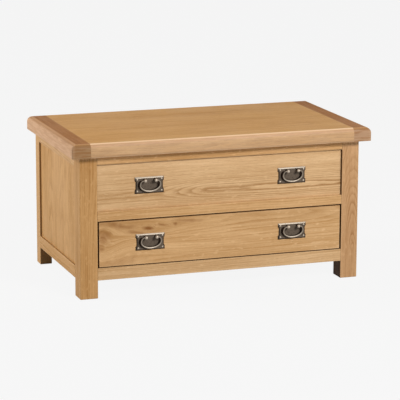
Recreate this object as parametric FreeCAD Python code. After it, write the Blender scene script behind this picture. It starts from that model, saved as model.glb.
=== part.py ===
import FreeCAD, Part
import math
import os

# Mule chest in oak: a frame and panel case with a hinged lid over a deep well,
# and one inset drawer below it. Millimetres. Origin on the floor under the middle
# of the outline. +Z is up, the front faces -Y and the long way is X.

os.makedirs("parts", exist_ok=True)
V = FreeCAD.Vector
X_AXIS = V(1, 0, 0)
Y_AXIS = V(0, 1, 0)
Z_AXIS = V(0, 0, 1)

# Overall sizes
lid_width = 1000.0
chest_depth = 560.0
chest_height = 501.0

# Lid
lid_thickness = 44.0
lid_gap = 1.5
side_overhang = 30.0
front_overhang = 30.0
cleat_width = 60.0
tongue_length = 12.0
tongue_thickness = 10.0
tongue_stop = 14.0
lid_round = 17.0
lid_corner_round = 3.0

# Legs
front_leg_width = 58.0
front_leg_depth = 60.0
rear_leg_width = 40.0
rear_leg_depth = 44.0
leg_round = 2.0

# Rails, from the floor up
foot_height = 58.0
bottom_rail_height = 40.0
drawer_opening_height = 150.0
middle_rail_height = 30.0
front_top_rail_height = 27.0
side_top_rail_height = 38.0
rail_thickness = 24.0
rear_rail_inset = 10.0
tenon_length = 22.0
rear_tenon_length = 18.0
tenon_shoulder = 4.0
rail_ease = 1.0

# Panels
panel_thickness = 10.0
front_panel_recess = 9.0
side_panel_recess = 6.0
back_panel_thickness = 6.0
groove_depth = 9.0
panel_play = 1.0

# Chest floor and what holds it
floor_thickness = 8.0
floor_below_groove = 3.0
floor_groove_depth = 6.0
floor_play = 1.0
floor_cleat_size = 20.0
kicker_width = 30.0

# Drawer runners and stops
runner_width = 28.0
runner_thickness = 20.0
guide_width = 20.0
guide_height = 20.0
guide_play = 1.0
stop_height = 18.0
stop_length = 20.0
stop_play = 0.3

# Drawer
drawer_side_gap = 4.0
drawer_top_gap = 4.0
drawer_bottom_gap = 2.0
drawer_inset = 1.0
drawer_front_thickness = 20.0
drawer_front_ease = 1.5
drawer_side_thickness = 12.0
drawer_side_lift = 0.5
drawer_side_below_front = 2.0
drawer_back_thickness = 12.0
drawer_back_below_side = 13.0
front_tail_length = 14.0
front_tail_count = 3
back_tail_count = 2
tail_root_share = 0.55
tail_tip_share = 0.75
drawer_bottom_thickness = 5.0
drawer_bottom_height = 12.0
drawer_groove_depth = 5.0

# Handles
handle_from_leg = 172.0
plate_width = 96.0
plate_height = 53.0
plate_edge = 1.2
plate_thickness = 3.5
plate_bevel = 4.0
plate_ear_height = 12.0
plate_waist = 3.0
plate_pin_inset = 8.0
post_spacing = 35.0
post_above_middle = 16.5
post_reach = 17.0
post_collar_radius = 5.0
post_collar_height = 1.5
post_stem_radius = 3.4
post_ball_radius = 5.5
post_bore_depth = 4.5
post_shank_radius = 2.0
nut_across = 8.0
nut_thickness = 3.2
shank_past_nut = 1.5
pin_head_radius = 3.0
pin_head_height = 1.8
pin_shank_radius = 1.2
pin_depth = 8.0
bail_width = 66.0
bail_drop = 36.0
bail_shoulder_drop = 14.0
bail_end_radius = 2.0
bail_grip_radius = 2.85
bail_end_play = 0.5
bail_lean_share = 0.21
bail_samples = 5
pivot_clearance = 0.05

# Lid hinges
hinge_from_leg = 130.0
hinge_length = 80.0
leaf_width = 25.0
leaf_thickness = 2.0
knuckle_radius = 4.6
knuckle_gap = 0.4
knuckle_relief = 0.6
hinge_pin_radius = 2.2
screw_head_radius = 3.6
screw_shank_radius = 1.8
screw_length = 17.0
leaf_screw_spacing = 26.0
leaf_screw_from_pin = 16.0

# Lid stay, on the right
stay_thickness = 3.0
stay_gap = 0.3
stay_arm_width = 14.0
stay_pivot_radius = 3.0
stay_head_radius = 5.0
stay_head_height = 1.2
stay_case_forward = 45.0
stay_case_down_share = 0.54
stay_lid_forward = 120.0
stay_lid_down = 16.0
stay_plate_length = 44.0
stay_plate_back = 16.0
stay_plate_front = 9.0
stay_screw_spacing = 28.0
stay_screw_length = 15.0
stay_base_width = 25.0
stay_base_length = 44.0
stay_tab_margin = 2.0

# How far a cutting tool runs past the face that it cuts
overrun = 1.0

# Places that follow from the sizes
half_lid = lid_width / 2
lid_front = -chest_depth / 2
case_back = chest_depth / 2
case_front = lid_front + front_overhang
half_case = half_lid - side_overhang
lid_bottom = chest_height - lid_thickness
case_top = lid_bottom - lid_gap
hinge_z = case_top + lid_gap / 2
front_leg_inside = half_case - front_leg_width
rear_leg_inside = half_case - rear_leg_width
front_leg_back = case_front + front_leg_depth
rear_leg_front = case_back - rear_leg_depth
bottom_rail_top = foot_height + bottom_rail_height
middle_rail_bottom = bottom_rail_top + drawer_opening_height
middle_rail_top = middle_rail_bottom + middle_rail_height
front_top_rail_bottom = case_top - front_top_rail_height
side_top_rail_bottom = case_top - side_top_rail_height
front_rail_back = case_front + rail_thickness
side_rail_inside = half_case - rail_thickness
rear_rail_back = case_back - rear_rail_inset
rear_rail_front = rear_rail_back - rail_thickness
hinge_y = rear_rail_back + knuckle_gap + knuckle_radius
front_panel_front = case_front + front_panel_recess
front_panel_back = front_panel_front + panel_thickness
side_panel_outside = half_case - side_panel_recess
side_panel_inside = side_panel_outside - panel_thickness
rear_middle = (rear_rail_front + rear_rail_back) / 2
back_panel_front = rear_middle - back_panel_thickness / 2
back_panel_back = rear_middle + back_panel_thickness / 2
floor_top = middle_rail_top - groove_depth - floor_below_groove
floor_bottom = floor_top - floor_thickness
well_depth = case_top - floor_top
handle_x = front_leg_inside - handle_from_leg
hinge_x = rear_leg_inside - hinge_from_leg


def box(x0, x1, y0, y1, z0, z1):
    """Return the box between two opposite corners."""
    return Part.makeBox(x1 - x0, y1 - y0, z1 - z0, V(x0, y0, z0))


def rod(radius, start, direction, length):
    """Return a round bar from a start point along a direction."""
    return Part.makeCylinder(radius, length, start, direction)


def cut(shape, tools):
    """Return the shape with every tool cut out of it."""
    for tool in tools:
        shape = shape.cut(tool)
    return shape


def join(shapes):
    """Return the shapes fused into one clean solid."""
    whole = shapes[0]
    for shape in shapes[1:]:
        whole = whole.fuse(shape)
    return whole.removeSplitter()


def mirrored(shape):
    """Return the shape reflected from the left side to the right."""
    return shape.mirror(V(0, 0, 0), X_AXIS)


def moved(shape, offset):
    """Return a copy of the shape shifted by an offset."""
    copy = shape.copy()
    copy.translate(offset)
    return copy


def edges_along(shape, axis):
    """Return the edges that run along an axis."""
    picked = []
    for edge in shape.Edges:
        first, last = edge.Vertexes[0].Point, edge.Vertexes[-1].Point
        run = last - first
        if abs(run.dot(axis)) > 0.99 * run.Length:
            picked.append(edge)
    return picked


def near(value, target):
    """Tell whether two lengths agree closely."""
    return abs(value - target) < lid_gap / 100


def polygon_prism(points, along):
    """Return the prism of a closed polygon, extruded along a vector."""
    face = Part.Face(Part.makePolygon(points + [points[0]]))
    return face.extrude(along)


def save(name, shapes):
    """Write one named node, which may hold several separate solids."""
    shape = shapes[0] if len(shapes) == 1 else Part.makeCompound(shapes)
    shape.exportStep("parts/" + name + ".step")


# Rails of the front, with stub tenons at both ends
def front_rail(low, high):
    """Return a front rail between two heights, with its tenons."""
    body = box(-front_leg_inside, front_leg_inside, case_front, front_rail_back, low, high)
    front_edges = [e for e in edges_along(body, X_AXIS) if near(e.Vertexes[0].Y, case_front)]
    body = body.makeFillet(rail_ease, front_edges)
    reach = front_leg_inside + tenon_length
    tenon = box(-reach, reach, front_panel_front, front_panel_back,
                low + tenon_shoulder, high - tenon_shoulder)
    return join([body, tenon])


def side_rail(low, high):
    """Return the left side's rail between two heights, with its tenons."""
    body = box(-half_case, -side_rail_inside, front_leg_back, rear_leg_front, low, high)
    outer_edges = [e for e in edges_along(body, Y_AXIS) if near(e.Vertexes[0].X, -half_case)]
    body = body.makeFillet(rail_ease, outer_edges)
    tenon = box(-side_panel_outside, -side_panel_inside, front_leg_back - tenon_length,
                rear_leg_front + rear_tenon_length, low + tenon_shoulder, high - tenon_shoulder)
    return join([body, tenon])


def rear_rail(low, high):
    """Return a back rail between two heights, with its tenons."""
    body = box(-rear_leg_inside, rear_leg_inside, rear_rail_front, rear_rail_back, low, high)
    reach = rear_leg_inside + rear_tenon_length
    tenon = box(-reach, reach, rear_middle - panel_thickness / 2, rear_middle + panel_thickness / 2,
                low + tenon_shoulder, high - tenon_shoulder)
    return join([body, tenon])


def leg(x0, x1, y0, y1):
    """Return a square post with eased upright edges and foot."""
    post = box(x0, x1, y0, y1, 0, case_top)
    post = post.makeFillet(leg_round, edges_along(post, Z_AXIS))
    foot_edges = [e for e in post.Edges if all(near(v.Z, 0) for v in e.Vertexes)]
    return post.makeChamfer(leg_round / 2, foot_edges)


front_top_rail = front_rail(front_top_rail_bottom, case_top)
front_middle_rail = front_rail(middle_rail_bottom, middle_rail_top)
front_bottom_rail = front_rail(foot_height, bottom_rail_top)
side_top_rail = side_rail(side_top_rail_bottom, case_top)
side_bottom_rail = side_rail(foot_height, bottom_rail_top)
rear_top_rail = rear_rail(side_top_rail_bottom, case_top)
rear_bottom_rail = rear_rail(foot_height, bottom_rail_top)

# Panels and the grooves that they stand in, which leave room to swell
held = groove_depth - panel_play
front_panel = box(-front_leg_inside - held, front_leg_inside + held, front_panel_front, front_panel_back,
                  middle_rail_top - held, front_top_rail_bottom + held)
front_groove = box(-front_leg_inside - groove_depth, front_leg_inside + groove_depth, front_panel_front,
                   front_panel_back, middle_rail_top - groove_depth, front_top_rail_bottom + groove_depth)
side_panel = box(-side_panel_outside, -side_panel_inside, front_leg_back - held, rear_leg_front + held,
                 bottom_rail_top - held, side_top_rail_bottom + held)
side_groove = box(-side_panel_outside, -side_panel_inside, front_leg_back - groove_depth,
                  rear_leg_front + groove_depth, bottom_rail_top - groove_depth,
                  side_top_rail_bottom + groove_depth)
back_panel = box(-rear_leg_inside - held, rear_leg_inside + held, back_panel_front, back_panel_back,
                 bottom_rail_top - held, side_top_rail_bottom + held)
back_groove = box(-rear_leg_inside - groove_depth, rear_leg_inside + groove_depth, back_panel_front,
                  back_panel_back, bottom_rail_top - groove_depth, side_top_rail_bottom + groove_depth)

# Legs, mortised for the rails and grooved for the panels
leg_front_left = leg(-half_case, -front_leg_inside, case_front, front_leg_back)
leg_front_left = cut(leg_front_left, [front_top_rail, front_middle_rail, front_bottom_rail, front_groove,
                                      side_top_rail, side_bottom_rail, side_groove])
leg_rear_left = leg(-half_case, -rear_leg_inside, rear_leg_front, case_back)
leg_rear_left = cut(leg_rear_left, [side_top_rail, side_bottom_rail, side_groove,
                                    rear_top_rail, rear_bottom_rail, back_groove])

front_top_rail = front_top_rail.cut(front_groove)
side_top_rail = side_top_rail.cut(side_groove)
side_bottom_rail = side_bottom_rail.cut(side_groove)
rear_top_rail = rear_top_rail.cut(back_groove)
rear_bottom_rail = rear_bottom_rail.cut(back_groove)

# Chest floor: lies in a groove of the middle rail and on cleats, notched at the legs
floor_front = front_rail_back - floor_groove_depth
floor_side = side_panel_inside - floor_play
floor_back = back_panel_front - floor_play
chest_floor = box(-floor_side, floor_side, floor_front, floor_back, floor_bottom, floor_top)
front_notch = box(-half_case, -front_leg_inside + floor_play, case_front, front_leg_back + floor_play,
                  floor_bottom - overrun, floor_top + overrun)
rear_notch = box(-half_case, -rear_leg_inside + floor_play, rear_leg_front - floor_play, case_back,
                 floor_bottom - overrun, floor_top + overrun)
chest_floor = cut(chest_floor, [front_notch, mirrored(front_notch), rear_notch, mirrored(rear_notch)])
floor_groove = box(-front_leg_inside, front_leg_inside, floor_front, front_rail_back, floor_bottom, floor_top)
front_middle_rail = cut(front_middle_rail, [front_groove, floor_groove])

cleat_bottom = floor_bottom - floor_cleat_size
rear_cleat_front = back_panel_front - floor_cleat_size
side_cleat = box(-side_panel_inside, -side_panel_inside + floor_cleat_size, front_leg_back, rear_leg_front,
                 cleat_bottom, floor_bottom)
rear_cleat = box(-rear_leg_inside, rear_leg_inside, rear_cleat_front, back_panel_front,
                 cleat_bottom, floor_bottom)
kicker = box(-front_leg_inside, -front_leg_inside + kicker_width, front_rail_back, rear_cleat_front,
             middle_rail_bottom, floor_bottom)

# Drawer runners: rebated to carry and guide the drawer's sides
runner_bottom = bottom_rail_top - runner_thickness
drawer_half = front_leg_inside - drawer_side_gap
guide_inside = drawer_half + guide_play
runner_bar = box(-front_leg_inside, -front_leg_inside + runner_width, front_rail_back, rear_rail_front,
                 runner_bottom, bottom_rail_top)
runner_wing = box(-side_rail_inside, -front_leg_inside, front_leg_back, rear_leg_front,
                  runner_bottom, bottom_rail_top)
runner_guide = box(-guide_inside - guide_width, -guide_inside, front_leg_back, rear_leg_front,
                   bottom_rail_top, bottom_rail_top + guide_height)
drawer_runner = join([runner_bar, runner_wing, runner_guide])

# Drawer box, dovetailed at all four corners
drawer_front_face = case_front + drawer_inset
drawer_front_back = drawer_front_face + drawer_front_thickness
drawer_front_bottom = bottom_rail_top + drawer_bottom_gap
drawer_front_top = middle_rail_bottom - drawer_top_gap
drawer_end = rear_rail_front - stop_length - stop_play
drawer_back_front = drawer_end - drawer_back_thickness
side_bottom = bottom_rail_top + drawer_side_lift
side_top = drawer_front_top - drawer_side_below_front
panel_low = drawer_front_bottom + drawer_bottom_height
panel_high = panel_low + drawer_bottom_thickness
back_top = side_top - drawer_back_below_side
drawer_side_inside = drawer_half - drawer_side_thickness


def tails(root, tip, low, high, count):
    """Return the (y, z) points of a row of dovetails, from low to high."""
    pitch = (high - low) / count
    points = []
    for index in range(count):
        middle = low + (index + 1 / 2) * pitch
        points.append((root, middle - pitch * tail_root_share / 2))
        points.append((tip, middle - pitch * tail_tip_share / 2))
        points.append((tip, middle + pitch * tail_tip_share / 2))
        points.append((root, middle + pitch * tail_root_share / 2))
    return points


outline = [(drawer_front_back, side_bottom)]
outline += tails(drawer_front_back, drawer_front_back - front_tail_length, side_bottom, side_top,
                 front_tail_count)
outline += [(drawer_front_back, side_top), (drawer_end, side_top), (drawer_end, back_top),
            (drawer_back_front, back_top)]
outline += list(reversed(tails(drawer_back_front, drawer_end, panel_high, back_top, back_tail_count)))
outline += [(drawer_back_front, panel_high), (drawer_end, panel_high), (drawer_end, side_bottom)]
drawer_side = polygon_prism([V(-drawer_half, y, z) for y, z in outline], V(drawer_side_thickness, 0, 0))

bottom_half = drawer_side_inside + drawer_groove_depth
bottom_front = drawer_front_back - drawer_groove_depth
drawer_bottom = box(-bottom_half, bottom_half, bottom_front, drawer_end, panel_low, panel_high)
drawer_groove = box(-bottom_half - panel_play, bottom_half + panel_play, bottom_front - panel_play,
                    drawer_end + overrun, panel_low, panel_high)
drawer_front = box(-drawer_half, drawer_half, drawer_front_face, drawer_front_back,
                   drawer_front_bottom, drawer_front_top)
face_edges = [e for e in drawer_front.Edges if all(near(v.Y, drawer_front_face) for v in e.Vertexes)]
drawer_front = drawer_front.makeFillet(drawer_front_ease, face_edges)
drawer_front = cut(drawer_front, [drawer_side, mirrored(drawer_side), drawer_groove])
drawer_back = box(-drawer_half, drawer_half, drawer_back_front, drawer_end, panel_high, back_top)
drawer_back = cut(drawer_back, [drawer_side, mirrored(drawer_side)])
drawer_side = drawer_side.cut(drawer_groove)

drawer_stop = box(-drawer_half, -front_leg_inside + runner_width, drawer_end + stop_play, rear_rail_front,
                  bottom_rail_top, bottom_rail_top + stop_height)

# One handle, drawn about the middle of its plate on the face that it is fixed to
def plate_outline(half_width, half_height, y):
    """Return the plate's outline with waisted ends, at a depth."""
    ear_end = plate_height / 2 - plate_ear_height
    waist_start = ear_end - plate_waist
    waist = half_width - plate_waist
    right = [(half_width, half_height), (half_width, ear_end), (waist, waist_start),
             (waist, -waist_start), (half_width, -ear_end), (half_width, -half_height)]
    left = [(-x, -z) for x, z in right]
    return [V(x, y, z) for x, z in right + left]


def handle_plate():
    """Return the bevelled backplate."""
    outer = plate_outline(plate_width / 2, plate_height / 2, 0)
    edge = polygon_prism(outer, V(0, -plate_edge, 0))
    low = plate_outline(plate_width / 2, plate_height / 2, -plate_edge)
    high = plate_outline(plate_width / 2 - plate_bevel, plate_height / 2 - plate_bevel, -plate_thickness)
    wires = [Part.makePolygon(points + [points[0]]) for points in (low, high)]
    return join([edge, Part.makeLoft(wires, True, True)])


def bail():
    """Return the swinging handle: a tapered bow that leans back, with a round journal at each end."""
    half = bail_width / 2
    start = post_spacing / 2 + post_ball_radius
    lower = bail_drop - bail_shoulder_drop
    right = []
    for index in range(bail_samples):
        turn = math.pi / 2 * index / bail_samples
        right.append((start + (half - start) * math.sin(turn), -bail_shoulder_drop * (1 - math.cos(turn)),
                      (half - start) * math.cos(turn), -bail_shoulder_drop * math.sin(turn)))
    for index in range(bail_samples + 1):
        turn = math.pi / 2 * index / bail_samples
        right.append((half * math.cos(turn), -bail_shoulder_drop - lower * math.sin(turn),
                      -half * math.sin(turn), -lower * math.cos(turn)))
    left = [(-x, z, dx, -dz) for x, z, dx, dz in reversed(right[:-1])]
    wires = []
    for x, z, dx, dz in right + left:
        radius = bail_end_radius + (bail_grip_radius - bail_end_radius) * (z / bail_drop) ** 2
        circle = Part.makeCircle(radius, V(x, -post_reach, z + post_above_middle), V(dx, 0, dz))
        wires.append(Part.Wire(circle))
    bow = Part.makeLoft(wires, True, True)
    lean = math.degrees(math.asin(bail_lean_share))
    bow.rotate(V(0, -post_reach, post_above_middle), X_AXIS, lean)
    inner = post_spacing / 2 + post_ball_radius - post_bore_depth + bail_end_play
    journal = rod(bail_end_radius, V(inner, -post_reach, post_above_middle), X_AXIS, start - inner)
    return join([bow, journal, mirrored(journal)])


def post(x, thickness):
    """Return one ball-headed post whose shank passes through a board of a thickness."""
    base = V(x, -plate_thickness, post_above_middle)
    collar = rod(post_collar_radius, base, -Y_AXIS, post_collar_height)
    stem = rod(post_stem_radius, base, -Y_AXIS, post_reach - plate_thickness)
    ball = Part.makeSphere(post_ball_radius, V(x, -post_reach, post_above_middle))
    length = plate_thickness + thickness + nut_thickness + shank_past_nut
    shank = rod(post_shank_radius, base, Y_AXIS, length)
    side = 1 if x > 0 else -1
    mouth = V(x + side * (post_ball_radius - post_bore_depth), -post_reach, post_above_middle)
    bore = rod(bail_end_radius + pivot_clearance, mouth, V(side, 0, 0), post_bore_depth + overrun)
    return join([collar, stem, ball, shank]).cut(bore)


def nut(x, thickness):
    """Return the six-sided nut on the back of the board."""
    radius = nut_across / 2 / math.cos(math.pi / 6)
    points = []
    for index in range(6):
        turn = math.pi / 3 * index
        points.append(V(x + radius * math.cos(turn), thickness, post_above_middle + radius * math.sin(turn)))
    start = V(x, thickness - overrun, post_above_middle)
    bore = rod(post_shank_radius, start, Y_AXIS, nut_thickness + 2 * overrun)
    return polygon_prism(points, V(0, nut_thickness, 0)).cut(bore)


def plate_pin(x, z):
    """Return one dome-headed pin of a plate's corner."""
    ball_radius = (pin_head_radius ** 2 + pin_head_height ** 2) / (2 * pin_head_height)
    middle = V(x, -plate_thickness - pin_head_height + ball_radius, z)
    keep = rod(pin_head_radius, V(x, -plate_thickness, z), -Y_AXIS, pin_head_height)
    head = Part.makeSphere(ball_radius, middle).common(keep)
    shank = rod(pin_shank_radius, V(x, -plate_thickness, z), Y_AXIS, plate_thickness + pin_depth)
    return join([head, shank])


class Handle:
    """One bail handle placed on a board of a thickness."""

    def __init__(self, place, thickness):
        half = post_spacing / 2
        pin_x = plate_width / 2 - plate_pin_inset
        pin_z = plate_height / 2 - plate_pin_inset
        corners = [(x, z) for x in (-pin_x, pin_x) for z in (-pin_z, pin_z)]
        self.posts = [moved(post(x, thickness), place) for x in (-half, half)]
        self.nuts = [moved(nut(x, thickness), place) for x in (-half, half)]
        self.pins = [moved(plate_pin(x, z), place) for x, z in corners]
        self.bail = moved(bail(), place)
        bores = [rod(post_shank_radius, V(x, -plate_thickness - overrun, post_above_middle), Y_AXIS,
                     plate_thickness + thickness + 2 * overrun) for x in (-half, half)]
        bores += [rod(pin_shank_radius, V(x, -plate_thickness - overrun, z), Y_AXIS,
                      plate_thickness + overrun + pin_depth) for x, z in corners]
        self.bores = [moved(bore, place) for bore in bores]
        self.plate = cut(moved(handle_plate(), place), self.bores)


panel_middle = (middle_rail_top + front_top_rail_bottom) / 2
drawer_middle = (drawer_front_bottom + drawer_front_top) / 2
upper_left = Handle(V(-handle_x, front_panel_front, panel_middle), panel_thickness)
upper_right = Handle(V(handle_x, front_panel_front, panel_middle), panel_thickness)
lower_left = Handle(V(-handle_x, drawer_front_face, drawer_middle), drawer_front_thickness)
lower_right = Handle(V(handle_x, drawer_front_face, drawer_middle), drawer_front_thickness)
front_panel = cut(front_panel, upper_left.bores + upper_right.bores)
drawer_front = cut(drawer_front, lower_left.bores + lower_right.bores)

# Lid: a board with a tongue at each end, held in grooved cleats
lid_blank = box(-half_lid, half_lid, lid_front, hinge_y, lid_bottom, chest_height)
lid_blank = lid_blank.makeFillet(lid_corner_round, edges_along(lid_blank, Z_AXIS))
top_edges = [e for e in lid_blank.Edges if all(near(v.Z, chest_height) for v in e.Vertexes)]
lid_blank = lid_blank.makeFillet(lid_round, top_edges)
seam = half_lid - cleat_width
tongue_low = (lid_bottom + chest_height - tongue_thickness) / 2
tongue = box(-seam - tongue_length, seam + tongue_length, lid_front + tongue_stop, hinge_y - tongue_stop,
             tongue_low, tongue_low + tongue_thickness)
middle_part = box(-seam, seam, lid_front - overrun, hinge_y + overrun, lid_bottom - overrun,
                  chest_height + overrun)
left_part = box(-half_lid - overrun, -seam, lid_front - overrun, hinge_y + overrun, lid_bottom - overrun,
                chest_height + overrun)
lid_board = join([lid_blank.common(middle_part), tongue])
lid_cleat = lid_blank.common(left_part).cut(tongue)


# Hinges: leaves let into the back rail and the lid, round a fixed pin
def screw(head, direction, length):
    """Return a countersunk wood screw from its head's middle along a direction."""
    cone = Part.makeCone(screw_head_radius, screw_shank_radius, leaf_thickness, head, direction)
    return join([cone, rod(screw_shank_radius, head, direction, length)])


def knuckle(start, length, radius, reach):
    """Return one knuckle on the hinge's axis, from a start along X."""
    return rod(radius, V(start, hinge_y, hinge_z), X_AXIS, length).cut(
        rod(reach, V(start - overrun, hinge_y, hinge_z), X_AXIS, length + 2 * overrun))


case_leaves, lid_leaves, hinge_pins, case_screws, lid_screws = [], [], [], [], []
case_mortises, lid_mortises, hinge_reliefs = [], [], []
third = hinge_length / 3
for middle in (-hinge_x, hinge_x):
    start = middle - hinge_length / 2
    outer = [(start, third - knuckle_gap / 2), (start + 2 * third + knuckle_gap / 2, third - knuckle_gap / 2)]
    inner = [(start + third + knuckle_gap / 2, third - knuckle_gap)]
    axis_start = V(start, hinge_y, hinge_z)
    pin = rod(hinge_pin_radius, axis_start, X_AXIS, hinge_length)
    hinge_pins.append(pin)
    hinge_reliefs.append(rod(knuckle_radius + knuckle_relief, V(start - overrun, hinge_y, hinge_z), X_AXIS,
                             hinge_length + 2 * overrun))
    places = [middle + leaf_screw_spacing * step for step in (-1, 0, 1)]
    for own, other, low, up, leaves, screws, mortises in (
            (outer, inner, case_top - leaf_thickness, -1, case_leaves, case_screws, case_mortises),
            (inner, outer, lid_bottom, 1, lid_leaves, lid_screws, lid_mortises)):
        plate = box(start, start + hinge_length, hinge_y - leaf_width, hinge_y, low, low + leaf_thickness)
        mortises.append(plate)
        for begin, length in other:
            plate = plate.cut(rod(knuckle_radius + knuckle_relief,
                                  V(begin - knuckle_gap, hinge_y, hinge_z), X_AXIS, length + 2 * knuckle_gap))
        clearance = 0 if up < 0 else pivot_clearance
        bore = hinge_pin_radius + clearance
        plate = plate.cut(rod(bore, axis_start, X_AXIS, hinge_length))
        rings = [knuckle(begin, length, knuckle_radius, bore) for begin, length in own]
        leaf = join([plate] + rings)
        face = low + leaf_thickness if up < 0 else low
        own_screws = [screw(V(x, hinge_y - leaf_screw_from_pin, face), V(0, 0, up), screw_length)
                      for x in places]
        leaves.append(cut(leaf, own_screws))
        screws.extend(own_screws)

rear_top_rail = cut(rear_top_rail, case_mortises + case_screws)
lid_board = cut(lid_board, lid_mortises + hinge_reliefs + lid_screws)

# Lid stay: two arms that stay parallel to the lines from the hinge to their pivots
bracket_inside = rear_leg_inside - stay_thickness
lower_inside = bracket_inside - stay_gap - stay_thickness
upper_inside = lower_inside - stay_gap - stay_thickness
tab_inside = upper_inside - stay_gap - stay_thickness
case_pivot = V(0, hinge_y - stay_case_forward, hinge_z - stay_case_down_share * well_depth)
lid_pivot = V(0, hinge_y - stay_lid_forward, hinge_z - stay_lid_down)
elbow = V(0, case_pivot.y + lid_pivot.y - hinge_y, case_pivot.z + lid_pivot.z - hinge_z)


def at(point, x):
    """Return a pivot's point at a distance across the chest."""
    return V(x, point.y, point.z)


def stay_arm(first, last, inside, first_radius, last_radius):
    """Return a flat arm with round ends and a hole at each pivot."""
    run = (last - first)
    across = V(0, -run.z, run.y).normalize() * (stay_arm_width / 2)
    corners = [at(p, inside) for p in (first + across, last + across, last - across, first - across)]
    bar = polygon_prism(corners, V(stay_thickness, 0, 0))
    ends = [rod(stay_arm_width / 2, at(p, inside), X_AXIS, stay_thickness) for p in (first, last)]
    holes = [rod(radius, at(p, inside - overrun), X_AXIS, stay_thickness + 2 * overrun)
             for p, radius in ((first, first_radius), (last, last_radius))]
    return cut(join([bar] + ends), holes)


def rivet(point, start, end, heads):
    """Return a rivet across the chest, with a head at each listed end."""
    parts = [rod(stay_pivot_radius, at(point, start), X_AXIS, end - start)]
    if "inner" in heads:
        parts.append(rod(stay_head_radius, at(point, start - stay_head_height), X_AXIS, stay_head_height))
    if "outer" in heads:
        parts.append(rod(stay_head_radius, at(point, end), X_AXIS, stay_head_height))
    return join(parts)


running_radius = stay_pivot_radius + pivot_clearance
stay_lower_arm = stay_arm(case_pivot, elbow, lower_inside, running_radius, stay_pivot_radius)
stay_upper_arm = stay_arm(elbow, lid_pivot, upper_inside, running_radius, running_radius)
stay_case_rivet = rivet(case_pivot, lower_inside - stay_gap, rear_leg_inside, ["inner"])
stay_elbow_rivet = rivet(elbow, upper_inside - stay_gap, lower_inside + stay_thickness, ["inner", "outer"])
stay_lid_rivet = rivet(lid_pivot, tab_inside, lower_inside - stay_gap / 2, ["inner"])

plate_low = case_pivot.z - stay_plate_length / 2
stay_case_bracket = box(bracket_inside, rear_leg_inside, case_pivot.y - stay_plate_front,
                        case_pivot.y + stay_plate_back, plate_low, plate_low + stay_plate_length)
stay_case_bracket = stay_case_bracket.makeFillet(stay_thickness, edges_along(stay_case_bracket, X_AXIS))
bracket_screw_y = (rear_leg_front + case_pivot.y + stay_plate_back) / 2
stay_case_screws = [screw(V(bracket_inside, bracket_screw_y, case_pivot.z + side * stay_screw_spacing / 2),
                          X_AXIS, stay_screw_length) for side in (-1, 1)]
stay_case_bracket = cut(stay_case_bracket, stay_case_screws + [stay_case_rivet])

tab_outside = tab_inside + stay_thickness
base_bottom = lid_bottom - stay_thickness
stay_base = box(tab_outside - stay_base_width, tab_outside, lid_pivot.y - stay_base_length / 2,
                lid_pivot.y + stay_base_length / 2, base_bottom, lid_bottom)
tab_half = stay_pivot_radius + stay_head_radius - stay_tab_margin
stay_tab = box(tab_inside, tab_outside, lid_pivot.y - tab_half, lid_pivot.y + tab_half,
               lid_pivot.z, lid_bottom)
tab_end = rod(tab_half, at(lid_pivot, tab_inside), X_AXIS, stay_thickness)
base_screw_x = tab_inside - stay_base_width / 2
stay_lid_screws = [screw(V(base_screw_x, lid_pivot.y + side * stay_screw_spacing / 2, base_bottom), Z_AXIS,
                         stay_screw_length) for side in (-1, 1)]
stay_lid_bracket = cut(join([stay_base, stay_tab, tab_end]), stay_lid_screws + [stay_lid_rivet])
lid_board = cut(lid_board, stay_lid_screws)
leg_rear_right = mirrored(leg_rear_left).cut(stay_case_screws[0]).cut(stay_case_screws[1])

# The named nodes
save("leg_front_left", [leg_front_left])
save("leg_front_right", [mirrored(leg_front_left)])
save("leg_rear_left", [leg_rear_left])
save("leg_rear_right", [leg_rear_right])
save("front_top_rail", [front_top_rail])
save("front_middle_rail", [front_middle_rail])
save("front_bottom_rail", [front_bottom_rail])
save("front_panel", [front_panel])
save("side_top_rail_left", [side_top_rail])
save("side_top_rail_right", [mirrored(side_top_rail)])
save("side_bottom_rail_left", [side_bottom_rail])
save("side_bottom_rail_right", [mirrored(side_bottom_rail)])
save("side_panel_left", [side_panel])
save("side_panel_right", [mirrored(side_panel)])
save("rear_top_rail", [rear_top_rail])
save("rear_bottom_rail", [rear_bottom_rail])
save("back_panel", [back_panel])
save("chest_floor", [chest_floor])
save("floor_cleats", [side_cleat, mirrored(side_cleat), rear_cleat])
save("drawer_kickers", [kicker, mirrored(kicker)])
save("drawer_runner_left", [drawer_runner])
save("drawer_runner_right", [mirrored(drawer_runner)])
save("drawer_stops", [drawer_stop, mirrored(drawer_stop)])
save("drawer_front", [drawer_front])
save("drawer_side_left", [drawer_side])
save("drawer_side_right", [mirrored(drawer_side)])
save("drawer_back", [drawer_back])
save("drawer_bottom", [drawer_bottom])
save("lid_board", [lid_board])
save("lid_cleat_left", [lid_cleat])
save("lid_cleat_right", [mirrored(lid_cleat)])
save("hinge_case_leaves", case_leaves)
save("hinge_lid_leaves", lid_leaves)
save("hinge_pins", hinge_pins)
save("hinge_case_screws", case_screws)
save("hinge_lid_screws", lid_screws)
save("stay_case_bracket", [stay_case_bracket])
save("stay_case_rivet", [stay_case_rivet])
save("stay_case_screws", stay_case_screws)
save("stay_lower_arm", [stay_lower_arm])
save("stay_elbow_rivet", [stay_elbow_rivet])
save("stay_upper_arm", [stay_upper_arm])
save("stay_lid_bracket", [stay_lid_bracket])
save("stay_lid_rivet", [stay_lid_rivet])
save("stay_lid_screws", stay_lid_screws)
save("handle_plate_upper_left", [upper_left.plate])
save("handle_plate_upper_right", [upper_right.plate])
save("handle_plate_lower_left", [lower_left.plate])
save("handle_plate_lower_right", [lower_right.plate])
save("bail_upper_left", [upper_left.bail])
save("bail_upper_right", [upper_right.bail])
save("bail_lower_left", [lower_left.bail])
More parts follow.
